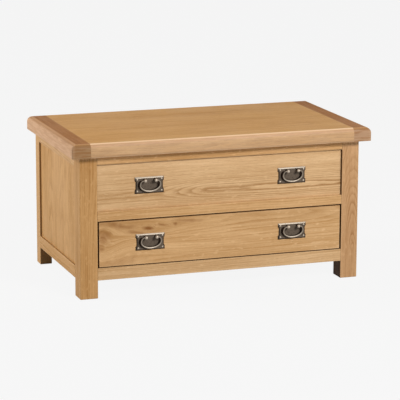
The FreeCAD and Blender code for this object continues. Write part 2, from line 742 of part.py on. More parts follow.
save("bail_lower_right", [lower_right.bail])
save("handle_posts_upper", upper_left.posts + upper_right.posts)
save("handle_posts_lower", lower_left.posts + lower_right.posts)
save("handle_pins_upper", upper_left.pins + upper_right.pins)
save("handle_pins_lower", lower_left.pins + lower_right.pins)
save("handle_nuts_upper", upper_left.nuts + upper_right.nuts)
save("handle_nuts_lower", lower_left.nuts + lower_right.nuts)
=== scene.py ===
"""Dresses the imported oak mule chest: wood and metal finishes, handle furniture, stage, light and camera."""

import logging
import math
from dataclasses import dataclass, replace
from enum import Enum
from types import SimpleNamespace
from typing import Any, Callable, Iterable, Optional, Union

import bmesh
import bpy
from mathutils import Matrix, Vector

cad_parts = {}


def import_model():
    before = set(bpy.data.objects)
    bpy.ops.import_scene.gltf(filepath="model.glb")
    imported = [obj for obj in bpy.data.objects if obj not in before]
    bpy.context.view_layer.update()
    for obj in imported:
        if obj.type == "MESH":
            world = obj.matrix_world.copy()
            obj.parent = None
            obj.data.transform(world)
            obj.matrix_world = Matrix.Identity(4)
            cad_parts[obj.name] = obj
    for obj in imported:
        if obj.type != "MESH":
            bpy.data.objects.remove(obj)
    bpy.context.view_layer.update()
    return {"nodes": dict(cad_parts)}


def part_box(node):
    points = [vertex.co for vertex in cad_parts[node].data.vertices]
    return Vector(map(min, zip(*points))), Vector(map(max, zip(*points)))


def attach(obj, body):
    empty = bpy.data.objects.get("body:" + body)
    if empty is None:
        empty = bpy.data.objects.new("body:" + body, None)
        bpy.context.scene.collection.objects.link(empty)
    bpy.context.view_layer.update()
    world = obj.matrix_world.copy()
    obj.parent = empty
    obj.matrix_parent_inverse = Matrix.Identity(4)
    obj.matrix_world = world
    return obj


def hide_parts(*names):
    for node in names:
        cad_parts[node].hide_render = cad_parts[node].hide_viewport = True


frame: dict[str, Any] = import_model()
MM = 0.001
# How close a point has to be to a line to count as on it, and how straight a face has to look one way
NEAR = 0.1 * MM
FACING = 0.9

log = logging.getLogger("mule_chest")

Colour = tuple[float, float, float, float]
Point = tuple[float, float, float]
Piece = bpy.types.Object
Feed = Union[float, "Wire"]

ORIGIN: Point = (0.0, 0.0, 0.0)


def paint(red: int, green: int, blue: int) -> Colour:
    """Turn a colour as a screen shows it into the linear colour that the shaders use.

    Args:
        red: Red from 0 to 255.
        green: Green from 0 to 255.
        blue: Blue from 0 to 255.

    Returns:
        The linear colour with full alpha.
    """
    def open_up(level: int) -> float:
        """Undo the screen's curve for one channel."""
        share = level / 255.0
        return share / 12.92 if share <= 0.04045 else ((share + 0.055) / 1.055) ** 2.4

    return (open_up(red), open_up(green), open_up(blue), 1.0)


def fields_of(holder: Any, names: Iterable[str]) -> dict[str, Any]:
    """Return some fields of a finish or a cut by name."""
    return {name: getattr(holder, name) for name in names}


class Way(Enum):
    """The six ways that a face can look."""

    LEFT = (-1.0, 0.0, 0.0)
    RIGHT = (1.0, 0.0, 0.0)
    FRONT = (0.0, -1.0, 0.0)
    BACK = (0.0, 1.0, 0.0)
    DOWN = (0.0, 0.0, -1.0)
    UP = (0.0, 0.0, 1.0)


class Grain(Enum):
    """How a board lies: which axes run along the grain, across the face and into the board."""

    LID = (0, 1, 2)
    FRONT = (0, 2, 1)
    UPRIGHT_FRONT = (2, 0, 1)
    UPRIGHT_SIDE = (2, 1, 0)
    DEEP_SIDE = (1, 2, 0)
    DEEP_TOP = (1, 0, 2)


class Labelled(Enum):
    """Named options that stand in the CAD names."""

    @property
    def label(self) -> str:
        """Return the option's name as the CAD writes it."""
        return self.name.lower()


class Side(Labelled):
    """The two ends of the chest, seen from the front."""

    LEFT = -1.0
    RIGHT = 1.0

    @property
    def outward(self) -> Way:
        """Return the way that this end looks."""
        return Way[self.name]

    @property
    def inward(self) -> Way:
        """Return the way to the other end."""
        return Way.RIGHT if self is Side.LEFT else Way.LEFT


class Tier(Labelled):
    """The two fronts that carry handles: the CAD node and the body of each."""

    UPPER = ("front_panel", "case")
    LOWER = ("drawer_front", "drawer")


class Kind(Enum):
    """The kinds of socket that the shared effects have."""

    NUMBER = "NodeSocketFloat"
    VECTOR = "NodeSocketVector"
    COLOUR = "NodeSocketColor"


@dataclass(frozen=True)
class Mottle:
    """How fine a noise is: its cells to a metre along each axis, its octaves and how strong they are."""

    cells: Point
    detail: float = 2.0
    roughness: float = 0.5


class Wire:
    """An output of a node, on which plain arithmetic places Math nodes."""

    def __init__(self, sheet: "NodeSheet", socket: bpy.types.NodeSocket) -> None:
        """Keep the output and the sheet that it is on."""
        self.sheet = sheet
        self.socket = socket

    def __add__(self, other: Feed) -> "Wire":
        """Return the sum."""
        return self.sheet.math("ADD", self, other)

    def __sub__(self, other: Feed) -> "Wire":
        """Return the difference."""
        return self.sheet.math("SUBTRACT", self, other)

    def __rsub__(self, other: float) -> "Wire":
        """Return the difference from a plain number."""
        return self.sheet.math("SUBTRACT", other, self)

    def __mul__(self, other: Feed) -> "Wire":
        """Return the product."""
        return self.sheet.math("MULTIPLY", self, other)

    def __truediv__(self, other: Feed) -> "Wire":
        """Return the quotient."""
        return self.sheet.math("DIVIDE", self, other)

    def __pow__(self, other: float) -> "Wire":
        """Return the power."""
        return self.sheet.math("POWER", self, other)

    def __abs__(self) -> "Wire":
        """Return the value without its sign."""
        return self.sheet.math("ABSOLUTE", self)

    def floor(self) -> "Wire":
        """Return the whole part."""
        return self.sheet.math("FLOOR", self)

    def root(self) -> "Wire":
        """Return the square root."""
        return self.sheet.math("SQRT", self)

    def ramp(self, low: float, high: float, start: Feed = 0.0, end: Feed = 1.0) -> "Wire":
        """Return the value eased from one range to another and held at its ends.

        Args:
            low: Where the first range begins.
            high: Where the first range ends.
            start: Where the second range begins.
            end: Where the second range ends.

        Returns:
            The eased value.
        """
        values = dict(enumerate((self, low, high, start, end)))
        return self.sheet.run("ShaderNodeMapRange", values, interpolation_type="SMOOTHSTEP")


class NodeSheet:
    """Places and wires nodes in one node tree."""

    def __init__(self, tree: bpy.types.NodeTree) -> None:
        """Keep the tree to work in."""
        self.tree = tree

    def put(self, kind: str, **settings: Any) -> bpy.types.Node:
        """Place one node.

        Args:
            kind: Blender's name for the node type.
            **settings: Properties of the node to set.

        Returns:
            The new node.
        """
        node = self.tree.nodes.new(kind)
        for key, value in settings.items():
            setattr(node, key, value)
        return node

    def feed(self, node: bpy.types.Node, values: dict[Any, Any]) -> None:
        """Wire outputs into a node's inputs, or set the inputs to plain values.

        Args:
            node: The node.
            values: Wires and values by the name or number of the input.
        """
        for key, value in values.items():
            if isinstance(value, Wire):
                self.tree.links.new(value.socket, node.inputs[key])
            else:
                node.inputs[key].default_value = value

    def run(self, kind: str, values: dict[Any, Any], out: Union[int, str] = 0, **settings: Any) -> Wire:
        """Place a node, feed it and take one of its outputs.

        Args:
            kind: Blender's name for the node type.
            values: Wires and values by the name or number of the input.
            out: The name or number of the output.
            **settings: Properties of the node to set.

        Returns:
            The output.
        """
        node = self.put(kind, **settings)
        self.feed(node, values)
        return Wire(self, node.outputs[out])

    def outputs(self, node: bpy.types.Node) -> SimpleNamespace:
        """Return a node's outputs by their names, with underscores for spaces."""
        return SimpleNamespace(**{socket.name.lower().replace(" ", "_"): Wire(self, socket)
                                  for socket in node.outputs if socket.name})

    def math(self, operation: str, *values: Feed) -> Wire:
        """Return the result of a Math node."""
        return self.run("ShaderNodeMath", dict(enumerate(values)), operation=operation)

    def vector(self, operation: str, first: Any, second: Any, out: Union[int, str] = 0) -> Wire:
        """Return a result of a Vector Math node on two vectors."""
        return self.run("ShaderNodeVectorMath", {0: first, 1: second}, out, operation=operation)

    def split(self, vector: Wire) -> list[Wire]:
        """Take a vector apart.

        Args:
            vector: The vector or colour.

        Returns:
            Its three parts.
        """
        node = self.put("ShaderNodeSeparateXYZ")
        self.feed(node, {0: vector})
        return [Wire(self, part) for part in node.outputs]

    def combine(self, x: Feed, y: Feed, z: Feed) -> Wire:
        """Return a vector made of three parts."""
        return self.run("ShaderNodeCombineXYZ", {0: x, 1: y, 2: z})

    def noise(self, vector: Wire, mottle: Mottle, coloured: bool = False) -> Wire:
        """Place a noise that is stretched along the axes.

        Args:
            vector: Coordinates in metres.
            mottle: How fine the noise is.
            coloured: Whether three noises are wanted, as a colour.

        Returns:
            The noise.
        """
        cells = self.vector("MULTIPLY", vector, mottle.cells)
        values = {"Vector": cells, "Scale": 1.0, "Detail": mottle.detail, "Roughness": mottle.roughness}
        return self.run("ShaderNodeTexNoise", values, int(coloured))

    def blend(self, share: Feed, first: Any, second: Any, mode: str = "MIX") -> Wire:
        """Return two colours mixed by a share, through the Mix node's sockets for colours."""
        values = {0: share, 6: first, 7: second}
        return self.run("ShaderNodeMix", values, 2, data_type="RGBA", blend_type=mode)


class SharedEffect:
    """A shader node group that more than one finish places."""

    name = "effect"
    inputs: dict[Kind, tuple[str, ...]] = {}
    outputs: dict[Kind, tuple[str, ...]] = {}

    def __init__(self) -> None:
        """Make the group's sockets and fill it."""
        self.tree = bpy.data.node_groups.new(self.name, "ShaderNodeTree")
        for way, kinds in (("INPUT", self.inputs), ("OUTPUT", self.outputs)):
            for kind, names in kinds.items():
                for label in self.labelled(dict.fromkeys(names)):
                    self.tree.interface.new_socket(label, in_out=way, socket_type=kind.value)
        self.sheet = NodeSheet(self.tree)
        self.given = self.sheet.outputs(self.sheet.put("NodeGroupInput"))
        self.sheet.feed(self.sheet.put("NodeGroupOutput"), self.labelled(self.fill()))

    @staticmethod
    def labelled(values: dict[str, Any]) -> dict[str, Any]:
        """Return values by the labels of their sockets."""
        return {name.replace("_", " ").title(): value for name, value in values.items()}

    def fill(self) -> dict[str, Wire]:
        """Build the inside of the group; each effect has its own."""
        raise NotImplementedError

    def place(self, sheet: NodeSheet, **values: Any) -> SimpleNamespace:
        """Place the group in a material.

        Args:
            sheet: The material's node sheet.
            **values: The inputs by name.

        Returns:
            The group's outputs by name.
        """
        node = sheet.put("ShaderNodeGroup", node_tree=self.tree)
        sheet.feed(node, self.labelled(values))
        return sheet.outputs(node)


class OakFigure(SharedEffect):
    """Oak as a solid: growth rings round a leaning pith, streaks, pores and flecks, board by board."""

    name = "oak_figure"
    of_cut = ("board_width", "pith_depth", "pith_across", "pith_lean", "lean_start", "lean_end", "scatter",
              "ring_width", "waver", "oval", "figure_middle", "figure_reach")
    of_finish = ("ring_contrast", "streak_contrast", "board_contrast", "band_contrast", "sheen_low",
                 "sheen_high")
    tones = ("pale", "deep", "pore")
    inputs = {Kind.VECTOR: ("grain",), Kind.NUMBER: ("seed", "tone", "ring_line") + of_cut + of_finish,
              Kind.COLOUR: tones}
    outputs = {Kind.COLOUR: ("color",), Kind.NUMBER: ("roughness", "height")}

    drifting = Mottle((1.7, 6.0, 6.0))
    raggedness = Mottle((14.0, 150.0, 150.0), 3.0, 0.6)
    fading = Mottle((2.1, 11.0, 11.0))
    streaks = Mottle((2.2, 90.0, 90.0), 4.0, 0.62)
    fibres = Mottle((11.0, 430.0, 430.0), 3.0, 0.65)
    bands = Mottle((1.5, 9.0, 9.0))
    clouds = Mottle((7.0, 16.0, 16.0), 3.0, 0.55)
    vessels = Mottle((70.0, 1500.0, 1500.0), 1.0)
    rays = Mottle((46.0, 120.0, 420.0), 1.0)
    slide_reach = 1.7
    board_apart = 3.7
    seed_apart = 1.31
    lean_ease = 0.04
    year_drift = 1.9
    year_raggedness = 0.7
    poorest_year = 0.15
    early_fall = 2.4
    late_pores = 0.3
    fibre_share = 0.8
    ring_mean = 0.1
    cloud_contrast = 0.45
    pore_dark = 0.5
    pore_dull = 0.6
    streak_height = 0.35
    ring_height = -0.25

    def fill(self) -> dict[str, Wire]:
        """Build rings, streaks, pores and flecks, and colour them.

        Returns:
            The colour, the roughness and the height.
        """
        sheet, given = self.sheet, self.given
        along, across, depth = sheet.split(given.grain)
        places = across / given.board_width + 0.5
        board = places.floor()
        across = (places - board - 0.5) * given.board_width
        throw = {"Vector": sheet.combine(board, given.seed, 0.0)}
        dice = sheet.run("ShaderNodeTexWhiteNoise", throw, "Color", noise_dimensions="2D")
        slid, moved, toned = sheet.split(dice)
        slide = slid * (given.scatter * self.slide_reach) + along
        offset = given.scatter * (moved - 0.5) * given.board_width + given.pith_across
        far = board * self.board_apart + given.seed * self.seed_apart
        spot = sheet.combine(slide + far, across, depth)

        drifts = [part - 0.5 for part in sheet.split(sheet.noise(spot, self.drifting, coloured=True))]
        ring_x = (drifts[0] * given.waver + (across - offset)) * given.oval
        held = sheet.math("SMOOTH_MIN", slide, given.lean_end, self.lean_ease)
        held = sheet.math("SMOOTH_MAX", held, given.lean_start, self.lean_ease)
        lean = given.pith_lean * held + given.pith_depth
        ring_y = drifts[1] * given.waver + (depth + lean)
        radius = (ring_x * ring_x + ring_y * ring_y).root()
        years = drifts[2] * self.year_drift + radius / given.ring_width
        years = (sheet.noise(spot, self.raggedness) - 0.5) * self.year_raggedness + years
        year = years.floor()
        season = years - year
        weather = sheet.run("ShaderNodeTexWhiteNoise", {"W": year}, "Value", noise_dimensions="1D")
        vigour = weather * (1.0 - self.poorest_year) + self.poorest_year
        early = (1.0 - season) ** self.early_fall
        fade = sheet.noise(spot, self.fading).ramp(0.3, 0.62, 0.4, 1.0)
        rings = early * season.ramp(0.0, 0.16) * (vigour * fade)
        rings = rings * abs(ring_y / radius).ramp(0.25, 0.95, 0.3, 1.0)

        streak = sheet.noise(spot, self.streaks)
        strand = (sheet.noise(spot, self.fibres) - 0.5) * self.fibre_share + (streak - 0.5)
        open_wood = early * (1.0 - self.late_pores) + self.late_pores
        pores = sheet.noise(spot, self.vessels).ramp(0.56, 0.68) * open_wood
        flecks = sheet.noise(spot, self.rays).ramp(0.6, 0.74, 0.0, 0.45)
        level = (self.ring_mean - rings) * given.ring_contrast + given.tone
        level = strand * given.streak_contrast + level
        level = (toned - 0.5) * given.board_contrast + level
        level = (sheet.noise(spot, self.bands) - 0.5) * given.band_contrast + level
        level = (sheet.noise(spot, self.clouds) - 0.5) * self.cloud_contrast + level

        aside = abs(along - given.figure_middle) / given.figure_reach
        line = rings * given.ring_line * aside.ramp(0.5, 1.0, 1.0, 0.1)
        colour = sheet.blend(level, given.deep, given.pale)
        for share, tone in ((flecks, given.pale), (line, given.pore), (pores * self.pore_dark, given.pore)):
            colour = sheet.blend(share, colour, tone)
        dull = pores * self.pore_dull + (level * -0.5 + 0.5)
        return {"color": colour, "roughness": dull.ramp(0.0, 1.0, given.sheen_low, given.sheen_high),
                "height": streak * self.streak_height - pores + rings * self.ring_height}


class Knot(SharedEffect):
    """A knot on a board's face: it parts the grain and darkens its own heart."""

    name = "knot"
    inputs = {Kind.VECTOR: ("grain", "place"), Kind.NUMBER: ("length", "height")}
    outputs = {Kind.VECTOR: ("grain",), Kind.NUMBER: ("heart",)}
    raggedness = Mottle((38.0, 90.0, 20.0), 3.0)
    ragged_share = 1.1
    fall = -0.28
    push = -0.85

    def fill(self) -> dict[str, Wire]:
        """Push the grain aside and mark the heart.

        Returns:
            The bent grain and the heart's mask.
        """
        sheet, given = self.sheet, self.given
        along, across, _ = sheet.split(sheet.vector("SUBTRACT", given.grain, given.place))
        flat_x = along / given.length
        flat_y = across / given.height
        square = flat_x * flat_x + flat_y * flat_y
        bent = across * sheet.math("EXPONENT", square * self.fall) * self.push
        reach = square.root() + sheet.noise(given.grain, self.raggedness) * self.ragged_share
        return {"grain": sheet.vector("ADD", given.grain, sheet.combine(0.0, bent, 0.0)),
                "heart": reach.ramp(0.55, 1.65, 1.0, 0.0)}


class EasedEdges(SharedEffect):
    """Where hands and cloths have worn a squared piece along its long edges."""

    name = "eased_edges"
    inputs = {Kind.VECTOR: ("place", "low", "high"), Kind.NUMBER: ("reach",)}
    outputs = {Kind.NUMBER: ("edge", "smudge")}
    rubbing = Mottle((22.0, 22.0, 22.0), 3.0, 0.6)
    smudges = Mottle((5.0, 5.0, 5.0), 4.0, 0.65)

    def fill(self) -> dict[str, Wire]:
        """Measure the distance to the second nearest face of the piece's box.

        Returns:
            The edge mask and a soft smudge mask.
        """
        sheet, given = self.sheet, self.given
        low = sheet.split(sheet.vector("SUBTRACT", given.place, given.low))
        high = sheet.split(sheet.vector("SUBTRACT", given.high, given.place))
        gaps = [sheet.math("MINIMUM", below, above) for below, above in zip(low, high)]
        lesser = sheet.math("MINIMUM", gaps[0], gaps[1])
        greater = sheet.math("MAXIMUM", gaps[0], gaps[1])
        second = sheet.math("MAXIMUM", lesser, sheet.math("MINIMUM", greater, gaps[2]))
        edge = (second / given.reach).ramp(0.0, 1.0, 1.0, 0.0)
        return {"edge": edge * sheet.noise(given.place, self.rubbing).ramp(0.25, 0.7, 0.35, 1.0),
                "smudge": sheet.noise(given.place, self.smudges).ramp(0.35, 0.75)}


class HollowFace(SharedEffect):
    """A tone that lies on one face of a piece and fades behind it, whole or in bands."""

    name = "hollow_face"
    inputs = {Kind.VECTOR: ("place", "outward"), Kind.NUMBER: ("level", "fade", "bands")}
    outputs = {Kind.NUMBER: ("mask",)}
    layers = Mottle((14.0, 14.0, 170.0), 2.0, 0.6)

    def fill(self) -> dict[str, Wire]:
        """Measure how far a place is from the face's plane.

        Returns:
            The mask, 1 on the face and 0 past the fade.
        """
        sheet, given = self.sheet, self.given
        depth = given.level - sheet.vector("DOT_PRODUCT", given.place, given.outward, "Value")
        spared = sheet.noise(given.place, self.layers).ramp(0.4, 0.58) * given.bands
        return {"mask": (depth / given.fade).ramp(0.15, 1.0, 1.0, 0.0) * (1.0 - spared)}


class Arris(SharedEffect):
    """The line where a rounding leaves a flat top, painted pale as a highlight."""

    name = "arris"
    inputs = {Kind.VECTOR: ("normal",)}
    outputs = {Kind.NUMBER: ("mask",)}

    def fill(self) -> dict[str, Wire]:
        """Pick the faces that lean a little away from straight up.

        Returns:
            The mask, 1 in the middle of the line.
        """
        sheet, given = self.sheet, self.given
        rise = sheet.split(given.normal)[2]
        return {"mask": rise.ramp(0.999, 0.985) * rise.ramp(0.78, 0.9)}


class Patina(SharedEffect):
    """Antiqued metal: dark in the hollows, rubbed bright where it is handled, with fine cast pits."""

    name = "patina"
    tones = ("dark", "middle", "bright")
    limits = ("rough_low", "rough_high", "metal_low", "metal_high")
    inputs = {Kind.VECTOR: ("place",), Kind.NUMBER: ("worn",) + limits, Kind.COLOUR: tones}
    outputs = {Kind.COLOUR: ("color",), Kind.NUMBER: ("roughness", "metal", "height")}
    mottling = Mottle((260.0, 260.0, 260.0), 4.0, 0.65)
    pitting = Mottle((1400.0, 1400.0, 1400.0))
    mottle_wear = 0.35
    polish = -0.7
    mottle_height = 0.7
    pit_height = 0.5

    def fill(self) -> dict[str, Wire]:
        """Mix the three metal tones by wear and by a mottle.

        Returns:
            The colour, the roughness, how metallic it is and the height.
        """
        sheet, given = self.sheet, self.given
        mottle = sheet.noise(given.place, self.mottling)
        pits = sheet.noise(given.place, self.pitting)
        rub = (mottle - 0.5) * self.mottle_wear + given.worn
        bare = rub.ramp(0.15, 0.95)
        colour = sheet.blend(mottle.ramp(0.18, 0.5), given.dark, given.middle)
        # Negative wear turns the colour dark: patina, and the painted shade and painted shadow that the plate
        # carries
        colour = sheet.blend(rub.ramp(-0.1, -0.7), colour, given.dark)
        return {"color": sheet.blend(bare, colour, given.bright),
                "roughness": (bare * self.polish + mottle).ramp(-0.3, 0.7, given.rough_low, given.rough_high),
                "metal": rub.ramp(0.1, 0.6, given.metal_low, given.metal_high),
                "height": mottle * self.mottle_height + pits * self.pit_height}


class PaintedBowShadow(SharedEffect):
    """The dark mark on a plate behind its hanging bow: a painted shadow."""

    name = "rest_mark"
    inputs = {Kind.VECTOR: ("spot",), Kind.NUMBER: ("half_width", "drop", "rise", "spread")}
    outputs = {Kind.NUMBER: ("mask",)}

    def fill(self) -> dict[str, Wire]:
        """Measure how far each spot lies from the bow's outline.

        Returns:
            The mask, 1 on the outline and 0 away from it.
        """
        sheet, given = self.sheet, self.given
        x, _, z = sheet.split(given.spot)
        side = x / given.half_width
        tall = sheet.math("MINIMUM", z, 0.0) / given.drop + sheet.math("MAXIMUM", z, 0.0) / given.rise
        off = abs((side * side + tall * tall).root() - 1.0)
        mask = (off / given.spread).ramp(0.3, 1.0, 1.0, 0.0)
        return {"mask": mask * (z / given.rise).ramp(0.45, 0.75, 1.0, 0.0)}


@dataclass(frozen=True)
class KnotMark:
    """One knot or stain: its place on the whole chest in metres, its size and how dark it is."""

    place: Point
    length: float
    height: float
    strength: float


@dataclass(frozen=True)
class FaceTone:
    """A face of a squared piece with a tone, as a cover or as a tint that keeps the figure; some tones are
    painted shade and light.
    """

    outward: Way
    colour: Colour
    share: float
    fade: float
    tint: bool = False
    bands: float = 0.0


@dataclass(frozen=True)
class BoardCut:
    """How one piece was sawn from its log."""

    grain: Grain
    board_width: float = 10.0
    pith_depth: float = 0.06
    pith_across: float = 0.0
    pith_lean: float = 0.03
    lean_start: float = -10.0
    lean_end: float = 10.0
    scatter: float = 0.0
    ring_width: float = 0.0052
    waver: float = 0.024
    oval: float = 1.0
    figure: float = 1.0
    figure_middle: float = 0.0
    figure_reach: float = 10.0
    tone: float = 0.0
    knots: tuple[KnotMark, ...] = ()
    faces: tuple[FaceTone, ...] = ()


@dataclass(frozen=True)
class OakFinish:
    """A wood finish: its tones, how strongly the figure shows, its wear and its lacquer."""

    name: str
    pale: Colour
    deep: Colour
    pore: Colour
    heart: Colour
    rub: Colour
    ring_contrast: float = 0.8
    ring_line: float = 0.2
    streak_contrast: float = 1.2
    board_contrast: float = 0.1
    band_contrast: float = 0.9
    tone: float = 0.55
    edge_rub: float = 0.22
    edge_reach: float = 5.0 * MM
    arris_rub: float = 0.0
    sheen_low: float = 0.4
    sheen_high: float = 0.6
    smudge: float = 0.06
    bump: float = 0.12
    bump_height: float = 0.3 * MM
    gloss: float = 0.06

    def make(self, shelf: "FinishShelf", piece: str, cut: BoardCut, seed: float) -> bpy.types.Material:
        """Make this finish for one piece.

        Args:
            shelf: Where the shared effects are.
            piece: The CAD node that the finish is for.
            cut: How the piece was sawn.
            seed: Which part of the tree it came from.

        Returns:
            The finished material.
        """
        low, high = (Vector(corner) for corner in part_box(piece))
        middle = (low + high) / 2
        material, sheet, shader = shelf.start(f"{self.name}_{piece}")
        coordinates = sheet.outputs(sheet.put("ShaderNodeTexCoord"))
        place = coordinates.object
        parts = sheet.split(sheet.vector("SUBTRACT", place, tuple(middle)))
        grain = sheet.combine(*(parts[axis] for axis in cut.grain.value))
        covers: list[tuple[Wire, Colour]] = []
        hearts: list[Wire] = []
        for mark in cut.knots:
            local = Vector(mark.place) - middle
            spot = tuple(local[axis] for axis in cut.grain.value)
            knot = shelf.knot.place(sheet, grain=grain, place=spot, length=mark.length, height=mark.height)
            grain = knot.grain
            hearts.append(knot.heart * mark.strength)
        oak = shelf.oak.place(sheet, grain=grain, seed=seed, tone=self.tone + cut.tone,
                              ring_line=self.ring_line * cut.figure, **fields_of(cut, OakFigure.of_cut),
                              **fields_of(self, OakFigure.of_finish + OakFigure.tones))
        wear = shelf.edges.place(sheet, place=place, low=tuple(low), high=tuple(high), reach=self.edge_reach)
        colour = oak.color
        for heart in hearts:
            colour = sheet.blend(heart, colour, self.heart)
        for face in cut.faces:
            way = face.outward.value
            level = sum(part * (top if part > 0 else bottom) for part, top, bottom in zip(way, high, low))
            mask = shelf.hollow.place(sheet, place=place, outward=way, level=level, fade=face.fade,
                                      bands=face.bands).mask * face.share
            if face.tint:
                shift = tuple(2.0 * own / (first + last)
                              for own, first, last in zip(face.colour, self.pale, self.deep))
                colour = sheet.blend(mask, colour, shift, "MULTIPLY")
            else:
                covers.append((mask, face.colour))
        covers.insert(0, (wear.edge * self.edge_rub, self.rub))
        # Painted highlight: a pale line in the rub colour along the arris of a rounding
        if self.arris_rub:
            line = shelf.arris.place(sheet, normal=coordinates.normal).mask
            covers.append((line * self.arris_rub, self.rub))
        for mask, cover in covers:
            colour = sheet.blend(mask, colour, cover)
        sheet.feed(shader, {"Base Color": colour, "Roughness": wear.smudge * self.smudge + oak.roughness,
                            "Normal": shelf.raised(sheet, oak.height, self.bump, self.bump_height),
                            "Specular IOR Level": self.gloss})
        return material


@dataclass(frozen=True)
class MetalFinish:
    """A metal finish: its three tones, how rough it is and how worn."""

    name: str
    dark: Colour
    middle: Colour
    bright: Colour
    rough_low: float
    rough_high: float
    bump: float
    bump_height: float = 0.2 * MM
    metal_low: float = 0.9
    metal_high: float = 1.0
    gloss: float = 0.5
    attribute: Optional[str] = None
    worn: float = 0.2
    rest_mark: float = -0.95

    def make(self, shelf: "FinishShelf") -> bpy.types.Material:
        """Make this finish once for all the pieces that have it.

        Args:
            shelf: Where the shared effects are.

        Returns:
            The finished material.
        """
        material, sheet, shader = shelf.start(self.name)
        place = sheet.run("ShaderNodeTexCoord", {}, "Object")
        worn: Feed = self.worn
        if self.attribute:
            own = sheet.run("ShaderNodeAttribute", {}, "Fac", attribute_name=self.attribute)
            spot = sheet.run("ShaderNodeAttribute", {}, "Vector", attribute_name="spot")
            # Painted shadow: the plate darkens along and below the bow's outline
            mark = shelf.rest.place(sheet, spot=spot, half_width=33.0 * MM, drop=22.0 * MM, rise=20.0 * MM,
                                    spread=0.24)
            worn = mark.mask * self.rest_mark + own
        metal = shelf.patina.place(sheet, place=place, worn=worn,
                                   **fields_of(self, Patina.tones + Patina.limits))
        sheet.feed(shader, {"Base Color": metal.color, "Roughness": metal.roughness, "Metallic": metal.metal,
                            "Normal": shelf.raised(sheet, metal.height, self.bump, self.bump_height),
                            "Specular IOR Level": self.gloss})
        return material


class FinishShelf:
    """Every finish of the chest, and the shared effects that they place."""

    honey = OakFinish("honey_oak", pale=paint(218, 178, 130), deep=paint(178, 134, 84),
                      pore=paint(140, 98, 56), heart=paint(136, 88, 46), rub=paint(226, 190, 146))
    panel_honey = replace(honey, name="panel_oak", pale=paint(220, 184, 140), deep=paint(180, 140, 94))
    side_honey = replace(honey, name="side_oak", pale=paint(216, 170, 116), deep=paint(174, 128, 70))
    leg_honey = OakFinish("leg_oak", pale=paint(206, 162, 110), deep=paint(164, 118, 66),
                          pore=paint(130, 88, 48), heart=paint(120, 78, 44), rub=paint(216, 178, 130),
                          ring_contrast=0.6, gloss=0.03)
    right_leg_honey = replace(leg_honey, name="right_leg_oak", pale=paint(206, 165, 122),
                              deep=paint(164, 121, 79))
    # The lid and cleat finishes carry a painted highlight along the arris of their roundings
    lid_honey = OakFinish("lid_oak", pale=paint(208, 157, 88), deep=paint(180, 127, 62),
                          pore=paint(138, 96, 54), heart=paint(120, 78, 44), rub=paint(242, 208, 170),
                          ring_contrast=0.3, streak_contrast=1.0, board_contrast=0.05, arris_rub=0.8)
    cleat_brown = OakFinish("cleat_oak", pale=paint(166, 106, 34), deep=paint(134, 80, 18),
                            pore=paint(96, 62, 32), heart=paint(100, 66, 38), rub=paint(206, 164, 122),
                            ring_contrast=0.4, arris_rub=0.5)
    inner = OakFinish("drawer_box_oak", pale=paint(218, 182, 136), deep=paint(188, 146, 98),
                      pore=paint(150, 108, 68), heart=paint(128, 84, 48), rub=paint(226, 194, 150),
                      ring_contrast=0.35, sheen_low=0.5, sheen_high=0.68)
    ply = OakFinish("plywood", pale=paint(216, 180, 134), deep=paint(190, 150, 102),
                    pore=paint(158, 116, 76), heart=paint(128, 84, 48), rub=paint(206, 170, 126),
                    ring_contrast=0.3, board_contrast=0.2, sheen_low=0.52, sheen_high=0.7)
    pewter = MetalFinish("antique_pewter", dark=paint(26, 14, 4), middle=paint(95, 83, 71),
                         bright=paint(178, 166, 150), rough_low=0.48, rough_high=0.6, bump=0.2,
                         metal_low=0.08, metal_high=0.7, gloss=0.1, attribute="worn")
    steel = MetalFinish("plated_steel", dark=paint(120, 116, 108), middle=paint(160, 156, 148),
                        bright=paint(205, 202, 196), rough_low=0.24, rough_high=0.42, bump=0.1)
    bright_steel = replace(steel, name="bright_steel", worn=0.6)

    def __init__(self) -> None:
        """Build the shared effects and the metals."""
        self.oak = OakFigure()
        self.knot = Knot()
        self.edges = EasedEdges()
        self.hollow = HollowFace()
        self.arris = Arris()
        self.patina = Patina()
        self.rest = PaintedBowShadow()
        self.pewter_metal = self.pewter.make(self)
        self.steel_metal = self.steel.make(self)
        self.screw_metal = self.bright_steel.make(self)

    def start(self, name: str) -> tuple[bpy.types.Material, NodeSheet, bpy.types.Node]:
        """Start a material.

        Args:
            name: The material's name.

        Returns:
            The material, its node sheet and its Principled shader.
        """
        material = bpy.data.materials.new(name)
        material.use_nodes = True
        shader = next(node for node in material.node_tree.nodes if node.type == "BSDF_PRINCIPLED")
        return material, NodeSheet(material.node_tree), shader

    def raised(self, sheet: NodeSheet, height: Wire, strength: float, distance: float) -> Wire:
        """Return a normal that a height has raised."""
        values = {"Strength": strength, "Distance": distance, "Height": height}
        return sheet.run("ShaderNodeBump", values, "Normal")

    def dress(self, piece: Piece, material: bpy.types.Material) -> None:
        """Give a piece one material in all its slots.

        Args:
            piece: The piece.
            material: The material.
        """
        if not piece.material_slots:
            piece.data.materials.append(material)
        for slot in piece.material_slots:
            slot.material = material


